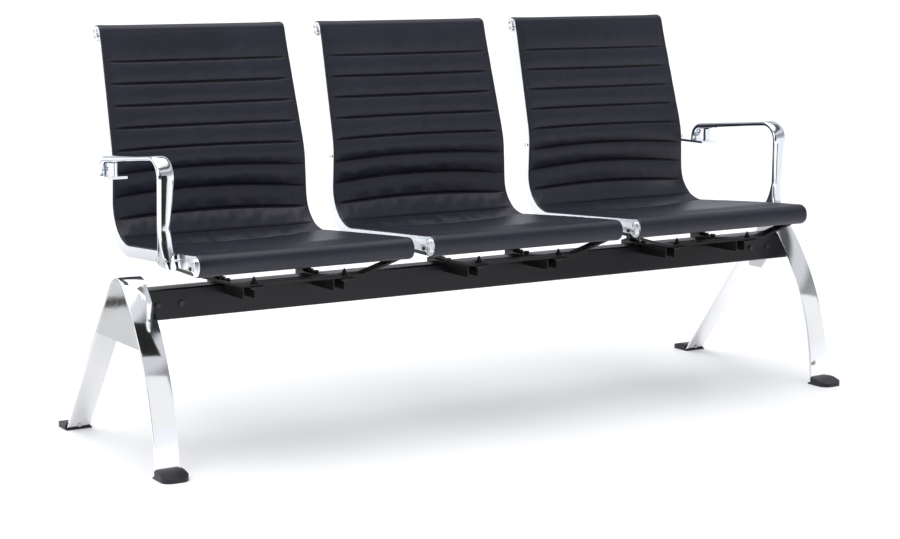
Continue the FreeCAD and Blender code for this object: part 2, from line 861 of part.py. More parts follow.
def shoe_screw_seat(x, outward):
    """Point on the flat bar's inner face where a shoe's screw sits."""
    lean = front_foot_lean if outward < 0 else rear_leg_lean
    foot = front_foot_y if outward < 0 else rear_foot_y
    slope = math.tan(math.radians(lean))
    inner = (strap_thickness + clearance) / math.cos(math.radians(lean))
    return V(x, foot - outward * (shoe_screw_height * slope + inner), shoe_screw_height)


def shoe_screw_axis(outward):
    """Direction of a shoe screw's head: square to the flat bar, inwards."""
    lean = math.radians(front_foot_lean if outward < 0 else rear_leg_lean)
    return V(0, -outward * math.cos(lean), -math.sin(lean))


def shoe_screw_cut(x, outward, radius):
    seat = shoe_screw_seat(x, outward)
    axis = shoe_screw_axis(outward)
    return rod(radius, seat + axis * strap_thickness, -axis, shoe_screw_length + strap_thickness + clearance)


def make_strap(side):
    """Flat bar bent into an arched inverted V, cut level where it stands in its shoes."""
    low, high = leg_range(side)
    strap = ribbon(leg_path, 0.0, -strap_thickness, in_side_view(low), V(high - low, 0, 0))
    reach = rear_foot_y - front_foot_y
    floor_cut = box((low - 1, high + 1), (front_foot_y - reach, rear_foot_y + reach), (-reach, shoe_sole))
    strap = strap.cut(floor_cut)
    for outward in (-1, 1):
        middle_x = (low + high) / 2
        strap = strap.cut(shoe_screw_cut(middle_x, outward, shoe_screw_radius + thread_play))
    return one_solid(strap)


def make_web(side):
    """Plate across the outer side of the arch, down to a little below the beam."""
    outer_x = side * leg_outer_x
    inner_edges = leg_path.edges(-strap_thickness, in_side_view(outer_x))
    ends = inner_edges[0].Vertexes[0].Point, inner_edges[-1].Vertexes[-1].Point
    wire = Part.Wire(Part.__sortEdges__(inner_edges + [Part.makeLine(*ends)]))
    plate = Part.Face(wire).extrude(V(-side * web_thickness, 0, 0))
    keep = box(sorted((outer_x, outer_x - side * web_thickness)), (front_foot_y, rear_foot_y),
               (beam_underside - web_drop, 2 * beam_top))
    return one_solid(plate.common(keep))


def make_spigot(side):
    """Tube on the web that slides into the beam, tapped for the leg screws."""
    outer_x = side * beam_half_length
    inner_x = side * (beam_half_length - spigot_length)
    gap = beam_wall + clearance
    half_y = beam_depth / 2 - gap
    low_z, high_z = beam_underside + gap, beam_top - gap
    spigot = box(sorted((inner_x, outer_x)), (-half_y, half_y), (low_z, high_z))
    hollow = box(sorted((inner_x, outer_x)), (-half_y + spigot_wall, half_y - spigot_wall),
                 (low_z + spigot_wall, high_z - spigot_wall))
    holes = [rod(leg_screw_radius + thread_play, point, V(0, 1, 0), beam_depth / 2)
             for point in leg_screw_centres() if point.x * side > 0]
    return one_solid(spigot.cut([hollow] + holes))


def make_leg_screws():
    shank, head = (leg_screw_radius, leg_screw_length), (leg_screw_head_radius, leg_screw_head_height)
    return Part.makeCompound([screw(*shank, *head, point, V(0, -1, 0)) for point in leg_screw_centres()])


def make_shoe(side, outward):
    """Block outside the flat bar, on a thin sole that the bar stands on."""
    low, high = leg_range(side)
    middle_x = (low + high) / 2
    lean = math.radians(front_foot_lean if outward < 0 else rear_leg_lean)
    foot = front_foot_y if outward < 0 else rear_foot_y
    heel = -(strap_thickness / math.cos(lean)) - shoe_heel - shoe_sole * math.tan(lean)
    face = lambda height: clearance - height * math.tan(lean)
    outline = [(heel, 0.0), (shoe_toe, 0.0), (shoe_toe, shoe_toe_height), (shoe_slope_start, shoe_height),
               (face(shoe_height), shoe_height), (face(shoe_sole), shoe_sole), (heel, shoe_sole)]
    side_view = side_prism([(foot + outward * u, z) for u, z in outline],
                           middle_x - shoe_width / 2, middle_x + shoe_width / 2)
    half, corner = shoe_width / 2, shoe_corner
    back_y, toe_y = foot + outward * (heel - shoe_height), foot + outward * shoe_toe
    bend_y = toe_y - outward * corner
    turn = corner * (1 - math.sqrt(0.5))
    at = lambda across, y: V(middle_x + across, y, 0)
    turn_y = toe_y - outward * turn
    plan = [Part.makeLine(at(-half, back_y), at(half, back_y)),
            Part.makeLine(at(half, back_y), at(half, bend_y)),
            Part.Arc(at(half, bend_y), at(half - turn, turn_y), at(half - corner, toe_y)).toShape(),
            Part.makeLine(at(half - corner, toe_y), at(corner - half, toe_y)),
            Part.Arc(at(corner - half, toe_y), at(turn - half, turn_y), at(-half, bend_y)).toShape(),
            Part.makeLine(at(-half, bend_y), at(-half, back_y))]
    outline_solid = Part.Face(Part.Wire(plan)).extrude(V(0, 0, shoe_height))
    shoe = side_view.common(outline_solid)
    return one_solid(shoe.cut(shoe_screw_cut(middle_x, outward, shoe_screw_radius + thread_play)))


def make_shoe_screws():
    screws = []
    for side in (-1, 1):
        middle_x = sum(leg_range(side)) / 2
        for outward in (-1, 1):
            screws.append(screw(shoe_screw_radius, shoe_screw_length, shoe_screw_head_radius,
                                shoe_screw_head_height, shoe_screw_seat(middle_x, outward),
                                shoe_screw_axis(outward)))
    return Part.makeCompound(screws)


# Armrests

def make_arm_path():
    """Middle line of an armrest in side view, from its neck to its rear end."""
    lean = math.radians(arm_lean)
    start = (arm_foot_y - (arm_neck_z - arm_foot_top) * math.tan(lean), arm_neck_z)
    path = Path(start, 90.0 + arm_lean)
    path.run(arm_rise)
    path.bend(arm_front_radius, -(90.0 + arm_lean + arm_slope))
    path.run(arm_top_length)
    path.bend(arm_rear_radius, -arm_rear_turn)
    path.run(arm_rear_drop)
    return path


arm_path = make_arm_path()
arm_plate_z = arm_path.beside(arm_path.length, 0.0)[1] - arm_plate_thickness


def arm_seat_x(side):
    """Middle of the outermost seat on one side."""
    return seat_centres()[-1 if side > 0 else 0]


def arm_inner_x():
    """Distance from the seat's middle to an armrest's inner face."""
    return web_outer(s_at_pan_y(arm_foot_y)) + clearance


def make_arm(side):
    """Loop armrest: a wide flat bar with soft edges and a flared foot on the pan's rail."""
    centre_x, inner = arm_seat_x(side), arm_inner_x()
    low, high = sorted((centre_x + side * inner, centre_x + side * (inner + arm_width)))
    bar = ribbon(arm_path, arm_thickness / 2, -arm_thickness / 2, in_side_view(low), V(arm_width, 0, 0))
    long_edges = [e for e in bar.Edges if abs(e.Vertexes[0].Point.x - e.Vertexes[-1].Point.x) < 1e-6
                  and not is_arm_end(e)]
    bar = rounded(bar, arm_edge, long_edges)
    reach = (centre_x + side * (inner - arm_foot_reach), centre_x + side * (inner + arm_foot_reach))
    foot_half, neck_half = arm_foot_length / 2, arm_thickness / 2
    neck, neck_heading = arm_path.at(0.0)
    sections = [arm_section((arm_foot_y, arm_foot_bottom), foot_half, reach, 0.0),
                arm_section((arm_foot_y, arm_foot_top), foot_half, reach, 0.0),
                arm_section(neck, neck_half, (low, high), neck_heading - math.pi / 2)]
    foot = Part.makeLoft(sections, True, True).cut(rail_cutter(centre_x, side))
    arm = bar.fuse(foot)
    for y, z in arm_foot_points():
        arm = arm.cut(cross_hole(centre_x, side, y, z, arm_screw_radius + thread_play))
    end_y, _ = arm_end_centre()
    hole = rod(arm_screw_radius + thread_play, V(arm_middle_x(side), end_y, arm_plate_z), V(0, 0, 1),
               arm_plate_thickness + arm_thickness)
    return one_solid(arm.cut(hole))


def arm_section(middle, half, x_ends, tilt):
    """Rounded rectangle across an armrest at a side-view point, tilted about X."""
    step_y, step_z = half * math.cos(tilt), half * math.sin(tilt)
    y, z = middle
    corners = [V(x_ends[0], y - step_y, z - step_z), V(x_ends[1], y - step_y, z - step_z),
               V(x_ends[1], y + step_y, z + step_z), V(x_ends[0], y + step_y, z + step_z)]
    return rounded_wire(corners, arm_edge)


def rail_cutter(centre_x, side):
    """Block that trims an armrest's foot to the slant of the pan's rail."""
    ends = (arm_foot_y - arm_foot_length, arm_foot_y + arm_foot_length)
    slant = [V(centre_x + side * (web_outer(s_at_pan_y(y)) + clearance / 2), y, 0) for y in ends]
    deep = [V(centre_x, y, 0) for y in reversed(ends)]
    block = polygon_prism(slant + deep, V(0, 0, arm_trim_top))
    return block


def is_arm_end(edge):
    """True for the edges of an armrest bar's two flat ends."""
    for s in (0.0, arm_path.length):
        corners = [arm_path.beside(s, sign * arm_thickness / 2) for sign in (-1, 1)]
        ends = [(v.Point.y, v.Point.z) for v in edge.Vertexes]
        if all(min(math.dist(end, corner) for corner in corners) < 1e-4 for end in ends):
            return True
    return False


def arm_end_centre():
    """Side-view point at the middle of an armrest's rear end."""
    return arm_path.at(arm_path.length)[0]


def arm_middle_x(side):
    return arm_seat_x(side) + side * (arm_inner_x() + arm_width / 2)


def arm_tab_x():
    """Distance from the seat's middle to the face of a bracket's tab on the rail."""
    return web_outer(back_s(arm_plate_z + arm_plate_thickness - arm_tab_height / 2)) + clearance


def arm_boss(side, y, low):
    """Round boss on the bracket plate that carries the armrest in front of its rear end."""
    s = arm_path.ends[2] - (arm_path.at(arm_path.ends[2])[0][0] - y - arm_boss_radius)
    high = arm_path.beside(s, -arm_thickness / 2)[1] - clearance
    return rod(arm_boss_radius, V(arm_middle_x(side), y, low), V(0, 0, 1), high - low)


def make_arm_rear_bracket(side):
    """Plate under an armrest's rear end, with a boss in front and a tab on the back's rail."""
    centre_x = arm_seat_x(side)
    end_y, _ = arm_end_centre()
    boss_y = end_y - arm_boss_inset
    front_y = boss_y - arm_boss_radius - arm_plate_front_margin
    top = arm_plate_z + arm_plate_thickness
    tab_high = top + arm_tab_height / 2
    tab_low = top - arm_tab_height / 2
    rail_x = arm_tab_x()
    plate = box(sorted((centre_x + side * rail_x, centre_x + side * (arm_inner_x() + arm_width))),
                (front_y, arm_plate_rear_y), (arm_plate_z, top))
    tab_front = seat_path.beside(back_s(tab_low), 0.0)[0]
    tab = box(sorted((centre_x + side * rail_x, centre_x + side * (rail_x + arm_tab_thickness))),
              (tab_front, arm_plate_rear_y), (tab_low, tab_high))
    bracket = plate.fuse([tab, arm_boss(side, boss_y, arm_plate_z)])
    for y, z in arm_tab_points():
        bracket = bracket.cut(cross_hole(centre_x, side, y, z, arm_screw_radius + thread_play))
    hole = rod(arm_screw_radius + thread_play, V(arm_middle_x(side), end_y, 0), V(0, 0, 1), 2 * top)
    return one_solid(bracket.cut(hole))


def make_arm_screws():
    """Screws of both armrests: two at the foot, two at the rear tab and one under the rear end."""
    screws = []
    head = (arm_screw_head_radius, arm_screw_head_height)
    for side in (-1, 1):
        centre_x, out = arm_seat_x(side), V(side, 0, 0)
        foot_x = centre_x + side * (arm_inner_x() + arm_foot_reach)
        for y, z in arm_foot_points():
            screws.append(screw(arm_screw_radius, arm_foot_screw_length, *head, V(foot_x, y, z), out))
        tab_x = centre_x + side * (arm_tab_x() + arm_tab_thickness)
        for y, z in arm_tab_points():
            screws.append(screw(arm_screw_radius, arm_tab_thickness + rail_web, bow_screw_head_radius,
                                bow_screw_head_height, V(tab_x, y, z), out))
        seat = V(arm_middle_x(side), arm_end_centre()[0], arm_plate_z)
        screws.append(screw(arm_screw_radius, arm_end_screw_length, *head, seat, V(0, 0, -1)))
    return Part.makeCompound(screws)


# Assembly

def seat_nodes(number, centre_x):
    """All the pieces of one seat by name."""
    name = "seat_%d_" % number
    sides = (("left", -1), ("right", 1))
    nodes = {name + "sling": make_sling(centre_x),
             name + "front_bar": make_bar(centre_x, front_bar_y, front_bar_z, front_bar_radius, s_front),
             name + "top_bar": make_bar(centre_x, top_bar_y, top_bar_z, top_bar_radius, s_top),
             name + "end_caps": Part.makeCompound([make_cap(centre_x, side, *place)
                                                   for _, side in sides for place in cap_places()]),
             name + "cap_screws": make_cap_screws(centre_x),
             name + "front_bow": make_front_bow(centre_x),
             name + "rear_bow": make_rear_bow(centre_x),
             name + "spacers": make_spacers(centre_x),
             name + "bow_bolts": make_bow_bolts(centre_x)}
    for word, side in sides:
        nodes[name + "rail_" + word] = make_rail(centre_x, side)
        nodes[name + "bracket_" + word] = make_bracket(centre_x + side * bracket_offset)
    return nodes


def bench_nodes():
    """All the pieces that the seats share by name."""
    nodes = {"beam": make_beam(),
             "bracket_bolts": make_bracket_bolts(),
             "bow_screws": make_bow_screws(),
             "leg_screws": make_leg_screws(),
             "shoe_screws": make_shoe_screws(),
             "arm_screws": make_arm_screws()}
    for word, side in (("left", -1), ("right", 1)):
        nodes["leg_strap_" + word] = make_strap(side)
        nodes["leg_web_" + word] = make_web(side)
        nodes["leg_spigot_" + word] = make_spigot(side)
        nodes["shoe_front_" + word] = make_shoe(side, -1)
        nodes["shoe_rear_" + word] = make_shoe(side, 1)
        nodes["arm_" + word] = make_arm(side)
        nodes["arm_rear_bracket_" + word] = make_arm_rear_bracket(side)
    return nodes


def centre_shift():
    """Move that puts the middle of the outline over the origin."""
    front = min(front_foot_y - shoe_toe, front_bar_y - front_ear_radius)
    rear = max(rear_foot_y + shoe_toe, top_bar_y + top_ear_radius)
    return V(0, -(front + rear) / 2, 0)


def main():
    """Build every piece and write one file for each."""
    nodes = bench_nodes()
    for number, centre_x in enumerate(seat_centres(), start=1):
        nodes.update(seat_nodes(number, centre_x))
    shift = centre_shift()
    os.makedirs("parts", exist_ok=True)
    for name, shape in nodes.items():
        shape.translate(shift)
        shape.exportStep("parts/%s.step" % name)
        facts = (name, len(shape.Solids), shape.Volume, shape.isValid())
        print("%-28s solids %2d  volume %10.0f  valid %s" % facts)
    print("moved by", shift)


main()
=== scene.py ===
"""Beam seating: ribbed sling seats between bright side rails, on a black beam with arched chrome legs.

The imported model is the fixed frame. The slings are replaced by padded, sewn ones, worked out here as whole
arrays along the seat's side line and settled by a short cloth pass, and the legs' straps and the armrests by
swept pieces. The other pieces keep their solids and get softened edges and their finishes. Sizes are in
millimetres about the beam's centre line until they reach a mesh. The studio's places are in metres.
"""
import json
import logging
import math
from dataclasses import dataclass
from enum import Enum

import bmesh
import bpy
import numpy as np
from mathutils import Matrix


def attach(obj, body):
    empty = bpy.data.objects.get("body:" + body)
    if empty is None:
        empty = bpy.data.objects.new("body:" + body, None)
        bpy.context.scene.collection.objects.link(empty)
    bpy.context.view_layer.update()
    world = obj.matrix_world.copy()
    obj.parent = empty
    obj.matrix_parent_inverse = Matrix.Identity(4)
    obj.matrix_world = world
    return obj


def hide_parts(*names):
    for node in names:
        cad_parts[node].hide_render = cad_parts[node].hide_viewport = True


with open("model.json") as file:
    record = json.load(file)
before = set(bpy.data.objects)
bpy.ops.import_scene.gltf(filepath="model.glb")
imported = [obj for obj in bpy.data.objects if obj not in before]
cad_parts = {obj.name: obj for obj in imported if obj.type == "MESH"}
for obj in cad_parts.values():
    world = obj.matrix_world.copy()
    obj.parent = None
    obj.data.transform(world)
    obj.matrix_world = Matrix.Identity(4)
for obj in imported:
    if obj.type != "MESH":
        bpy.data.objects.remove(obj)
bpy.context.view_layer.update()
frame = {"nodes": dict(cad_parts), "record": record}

MM = 0.001
BEAM_Y = 90.4775
SEAT_PITCH = 570.0
SEATS = {1: -SEAT_PITCH, 2: 0.0, 3: SEAT_PITCH}

Array = np.ndarray
Mesh = bpy.types.Mesh
Node = bpy.types.Node
Piece = bpy.types.Object
Socket = bpy.types.NodeSocket
Tree = bpy.types.NodeTree
Point = tuple[float, float, float]

log = logging.getLogger("beam_seating")


class Side(Enum):
    """The two sides of a seat, with their sign along X."""

    LEFT = -1
    RIGHT = 1


# Lines and meshes

def between(x: Array, x0: float, y0: float, x1: float, y1: float) -> Array:
    """Straight-line value from (x0, y0) to (x1, y1), held at its ends."""
    return y0 + (y1 - y0) * np.clip((x - x0) / (x1 - x0), 0.0, 1.0)


def spaced(edges: list[float], counts: tuple[int, ...]) -> Array:
    """Distances from edge to edge, evenly spaced in each gap by its count."""
    return np.unique(np.concatenate([np.linspace(*gap) for gap in zip(edges, edges[1:], counts)]))


class SidePath:
    """A flat walk of straight runs and arcs in the side view, read at whole arrays of distances."""

    def __init__(self, start: tuple[float, float], heading: float) -> None:
        """Starts the walk.

        Args:
            start: Y and Z of the first point.
            heading: Direction there, in degrees from Y towards Z.
        """
        self.rows: list[tuple[float, ...]] = []
        self.ends: list[float] = []
        self.here = start
        self.heading = math.radians(heading)
        self.length = 0.0

    def add(self, length: float, curvature: float) -> "SidePath":
        """Adds a piece.

        Args:
            length: Its length.
            curvature: One over its radius, positive to the left, or nothing for a straight run.

        Returns:
            The path.
        """
        self.rows.append((self.length, *self.here, self.heading, curvature))
        self.length += length
        self.ends.append(self.length)
        y, z, _ = self.at(np.array([self.length]))
        self.here = (float(y[0]), float(z[0]))
        self.heading += curvature * length
        return self

    def run(self, length: float) -> "SidePath":
        """Adds a straight run."""
        return self.add(length, 0.0)

    def bend(self, radius: float, turn: float) -> "SidePath":
        """Adds an arc of a turn in degrees, positive to the left."""
        return self.add(radius * math.radians(abs(turn)), math.copysign(1.0 / radius, turn))

    def at(self, s: Array) -> tuple[Array, Array, Array]:
        """Points and headings at distances along the path.

        On a run the point moves by the distance along the heading. On an arc it moves by the difference of
        the heading's sine and cosine over the curvature.

        Args:
            s: Distances along the path.

        Returns:
            Y, Z and heading at each distance.
        """
        table = np.array(self.rows)
        row = table[np.clip(np.searchsorted(table[:, 0], s, side="right") - 1, 0, len(table) - 1)]
        here = s - row[..., 0]
        heading, curvature = row[..., 3], row[..., 4]
        safe = np.where(curvature == 0.0, 1.0, curvature)
        turned = heading + curvature * here
        step_y = np.where(curvature == 0.0, here * np.cos(heading), (np.sin(turned) - np.sin(heading)) / safe)
        step_z = np.where(curvature == 0.0, here * np.sin(heading), (np.cos(heading) - np.cos(turned)) / safe)
        return row[..., 1] + step_y, row[..., 2] + step_z, turned

    def beside(self, s: Array, offset: Array) -> tuple[Array, Array]:
        """Points at distances along the path, moved to its left by an offset."""
        y, z, heading = self.at(s)
        return y - offset * np.sin(heading), z + offset * np.cos(heading)


def in_metres(x: Array, y: Array, z: Array) -> Array:
    """Points of the model's frame, in metres, from millimetres about the beam's centre line."""
    return np.stack(np.broadcast_arrays(x, y - BEAM_Y, z), axis=-1) * MM


def ring_mesh(name: str, rings: Array, uv: Array, marks: dict[str, Array]) -> Mesh:
    """A closed shell through a row of closed rings, with a flat face at both ends.

    Args:
        name: Name of the mesh.
        rings: Points, as rows by columns by three. Each row is one closed ring.
        uv: Surface coordinates, as rows by columns plus one by two.
        marks: Values for each point by attribute name, as rows by columns.

    Returns:
        The mesh, smooth, with its faces outwards.
    """
    rows, cols = rings.shape[:2]
    index = np.arange(rows * cols).reshape(rows, cols)
    after = np.roll(index, -1, axis=1)
    quads = np.stack([index[:-1], after[:-1], after[1:], index[1:]], axis=-1).reshape(-1, 4)
    corners = np.concatenate([quads.ravel(), index[0][::-1], index[-1]])
    starts = np.concatenate([np.arange(len(quads) + 1) * 4, [4 * len(quads) + cols]])
    quad_uv = np.stack([uv[:-1, :-1], uv[:-1, 1:], uv[1:, 1:], uv[1:, :-1]], axis=2).reshape(-1, 2)
    corner_uv = np.concatenate([quad_uv, uv[0, :-1][::-1], uv[-1, :-1]])
    mesh = bpy.data.meshes.new(name)
    mesh.vertices.add(rows * cols)
    mesh.vertices.foreach_set("co", rings.reshape(-1).astype(np.float32))
    mesh.loops.add(len(corners))
    mesh.loops.foreach_set("vertex_index", corners.astype(np.int32))
    mesh.polygons.add(len(starts))
    mesh.polygons.foreach_set("loop_start", starts.astype(np.int32))
    mesh.update(calc_edges=True)
    mesh.uv_layers.new(name="surface").data.foreach_set("uv", corner_uv.reshape(-1).astype(np.float32))
    for mark, values in marks.items():
        store = mesh.attributes.new(mark, "FLOAT", "POINT")
        store.data.foreach_set("value", values.reshape(-1).astype(np.float32))
    shell = bmesh.new()
    shell.from_mesh(mesh)
    bmesh.ops.recalc_face_normals(shell, faces=shell.faces)
    shell.to_mesh(mesh)
    shell.free()
    mesh.polygons.foreach_set("use_smooth", np.ones(len(starts), bool))
    return mesh


def swept_mesh(name: str, path: SidePath, along: Array, across: Array, offset: Array,
               marks: dict[str, Array] | None = None) -> Mesh:
    """A closed shell of loops about a path in the side view.

    Args:
        name: Name of the mesh.
        path: The path.
        along: Distances along the path, as loops by points.
        across: X of each point.
        offset: Distance of each point to the path's left.
        marks: Values for each point by attribute name.

    Returns:
        The mesh. Its surface coordinates are the distances along the path and round each loop, in metres.
    """
    steps = [np.diff(side, axis=1, append=side[:, :1]) for side in (across, offset)]
    length = np.concatenate([np.zeros((len(along), 1)), np.cumsum(np.hypot(*steps), axis=1)], axis=1)
    uv = np.stack([np.broadcast_to(along[:, :1], length.shape), length], axis=-1) * MM
    return ring_mesh(name, in_metres(across, *path.beside(along, offset)), uv, marks or {})


def place(name: str, data: bpy.types.ID, at: Point = (0.0, 0.0, 0.0), turn: Point = (0.0, 0.0, 0.0)) -> Piece:
    """Links a mesh, a light or a camera as an object.

    Args:
        name: Name of the object.
        data: What it shows.
        at: Its place, the origin for every mesh.
        turn: Its turn about X, Y and Z, in radians.

    Returns:
        The object.
    """
    thing = bpy.data.objects.new(name, data)
    thing.location, thing.rotation_euler = at, turn
    bpy.context.scene.collection.objects.link(thing)
    return thing


# Node tools

def add_node(tree: Tree, kind: str, given: dict[str | int, object], **settings: object) -> Node:
    """A node with its settings and inputs.

    Args:
        tree: Tree that gets the node.
        kind: Type of the node.
        given: A socket to link or a value to set, by the input's name or number.
        **settings: Values by the node's property.

    Returns:
        The node.
    """
    node = tree.nodes.new(kind)
    for label, value in settings.items():
        setattr(node, label, value)
    for label, value in given.items():
        if isinstance(value, Socket):
            tree.links.new(value, node.inputs[label])
        else:
            node.inputs[label].default_value = value
    return node


def calc(tree: Tree, operation: str, *values: Socket | float) -> Socket:
    """The result of a math node on sockets or numbers, in the operation's order."""
    return add_node(tree, "ShaderNodeMath", dict(enumerate(values)), operation=operation).outputs[0]


def noise(tree: Tree, vector: Socket, scale: Socket | float, detail: float, roughness: float = 0.5) -> Socket:
    """A noise texture's value, from 0 to 1, at a vector and scale."""
    given = {"Vector": vector, "Scale": scale, "Detail": detail, "Roughness": roughness}
    return add_node(tree, "ShaderNodeTexNoise", given).outputs[0]


def bump(tree: Tree, height: Socket, depth: float, strength: float = 1.0, **under: Socket) -> Socket:
    """A bump's normal from a height, on top of another bump's Normal if one is given."""
    given = {"Height": height, "Distance": depth, "Strength": strength, **under}
    return add_node(tree, "ShaderNodeBump", given).outputs["Normal"]


# Types of the groups' sockets by name: every other socket is a number
SOCKET_TYPES = {"Geometry": "NodeSocketGeometry", "Vector": "NodeSocketVector", "Dark": "NodeSocketColor",
                "Light": "NodeSocketColor", "Color": "NodeSocketColor"}


def new_group(name: str, inputs: tuple[str, ...], outputs: tuple[str, ...],
              kind: str = "ShaderNodeTree") -> tuple[Tree, dict[str, Socket], dict[str, Socket]]:
    """An empty node group with named sockets.

    Args:
        name: Name of the group.
        inputs: Names of its inputs.
        outputs: Names of its outputs.
        kind: Type of its tree.

    Returns:
        The group, what it is given by name and the ends of its results by name.
    """
    group = bpy.data.node_groups.new(name, kind)
    for labels, way in ((inputs, "INPUT"), (outputs, "OUTPUT")):
        for label in labels:
            socket_type = SOCKET_TYPES.get(label, "NodeSocketFloat")
            group.interface.new_socket(label, in_out=way, socket_type=socket_type)
    given = group.nodes.new("NodeGroupInput").outputs
    results = group.nodes.new("NodeGroupOutput").inputs
    return group, {label: given[label] for label in inputs}, {label: results[label] for label in outputs}


def new_material(name: str, values: dict[str, object]) -> tuple[bpy.types.Material, Node]:
    """A new material.

    Args:
        name: Name of the material.
        values: Values of its shader by socket name.

    Returns:
        The material and its shader.
    """
    material = bpy.data.materials.new(name)
    material.use_nodes = True
    shader = material.node_tree.nodes["Principled BSDF"]
    for label, value in values.items():
        shader.inputs[label].default_value = value
    return material, shader


class Effects:
    """The shared surface effects, each a node group that is built once."""

    def __init__(self) -> None:
        """Builds the groups."""
        self.smudges = self.build_smudges()
        self.pebble = self.build_pebble()
        self.stitches = self.build_stitches()
        self.peel = self.build_peel()
        self.tone = self.build_tone()

    def build_smudges(self, broad_share: float = 0.65, finer: float = 11.0) -> Tree:
        """Roughness with soft hand marks: level plus amount times a broad and a fine noise about the middle.

        Args:
            broad_share: Share of the broad noise.
            finer: How many times finer the other one is.

        Returns:
            The group.
        """
        group, given, results = new_group("smudges", ("Vector", "Scale", "Level", "Amount"), ("Roughness",))
        broad = noise(group, given["Vector"], given["Scale"], 4.0, 0.6)
        fine = noise(group, given["Vector"], calc(group, "MULTIPLY", given["Scale"], finer), 3.0)
        broad = calc(group, "MULTIPLY", broad, broad_share)
        mixed = calc(group, "MULTIPLY_ADD", fine, 1.0 - broad_share, broad)
        middle = calc(group, "SUBTRACT", mixed, 0.5)
        level = calc(group, "MULTIPLY_ADD", middle, given["Amount"], given["Level"])
        group.links.new(calc(group, "MAXIMUM", level, 0.02), results["Roughness"])
        return group

    def build_pebble(self, pore_share: float = 0.3, finer: float = 2.6) -> Tree:
        """Leather grain height: soft cells with finer pores on top.

        Args:
            pore_share: Height of the pores.
            finer: How many times finer they are than the cells.

        Returns:
            The group.
        """
        group, given, results = new_group("pebble_grain", ("Vector", "Scale"), ("Height",))
        cells = add_node(group, "ShaderNodeTexVoronoi", {**given, "Smoothness": 0.35}, feature="SMOOTH_F1")
        pores = noise(group, given["Vector"], calc(group, "MULTIPLY", given["Scale"], finer), 2.0)
        height = calc(group, "MULTIPLY_ADD", pores, pore_share, cells.outputs["Distance"])
        group.links.new(height, results["Height"])
        return group

    def build_stitches(self, half_thread: float = 0.36, seam_shade_widths: float = 8.0) -> Tree:
        """Stitch mask, from the distance to the seam and a wave along it, and painted shade fading from it.

        Args:
            half_thread: Half the share of a stitch's length that its thread shows.
            seam_shade_widths: Reach of the painted shade beside the seam, in stitch widths.

        Returns:
            The group.
        """
        labels = ("Seam", "Along", "Length", "Width")
        group, given, results = new_group("stitches", labels, ("Stitch", "Fold"))
        share = calc(group, "FRACT", calc(group, "DIVIDE", given["Along"], given["Length"]))
        from_middle = calc(group, "ABSOLUTE", calc(group, "SUBTRACT", share, 0.5))
        thread = calc(group, "LESS_THAN", from_middle, half_thread)
        near = calc(group, "LESS_THAN", given["Seam"], given["Width"])
        group.links.new(calc(group, "MULTIPLY", thread, near), results["Stitch"])
        # Painted shade beside the seam: full at the seam, falling in a straight line to nothing at the reach
        reach = calc(group, "MULTIPLY", given["Width"], seam_shade_widths)
        seam_shade = calc(group, "SUBTRACT", 1.0, calc(group, "DIVIDE", given["Seam"], reach))
        group.links.new(calc(group, "MAXIMUM", seam_shade, 0.0), results["Fold"])
        return group

    def build_peel(self, fine_share: float = 0.3, finer: float = 5.0) -> Tree:
        """Fine unevenness of paint, plate or moulded plastic: a noise with a finer one on top.

        Args:
            fine_share: Height of the finer noise.
            finer: How many times finer it is.

        Returns:
            The group.
        """
        group, given, results = new_group("fine_peel", ("Vector", "Scale"), ("Height",))
        broad = noise(group, given["Vector"], given["Scale"], 2.0)
        fine = noise(group, given["Vector"], calc(group, "MULTIPLY", given["Scale"], finer), 1.0)
        group.links.new(calc(group, "MULTIPLY_ADD", fine, fine_share, broad), results["Height"])
        return group

    def build_tone(self, low: float = 0.35, high: float = 0.65) -> Tree:
        """Colour between two tones by a soft noise, for faint unevenness and settled dust.

        Args:
            low: Noise value of the dark tone.
            high: Noise value of the light tone.

        Returns:
            The group.
        """
        group, given, results = new_group("tone", ("Vector", "Scale", "Dark", "Light"), ("Color",))
        cloud = noise(group, given["Vector"], given["Scale"], 5.0, 0.6)
        share = add_node(group, "ShaderNodeMapRange", {"Value": cloud, "From Min": low, "From Max": high})
        tones = {"Factor": share.outputs[0], 6: given["Dark"], 7: given["Light"]}
        mix = add_node(group, "ShaderNodeMix", tones, data_type="RGBA")
        group.links.new(mix.outputs[2], results["Color"])
        return group


# Finishes

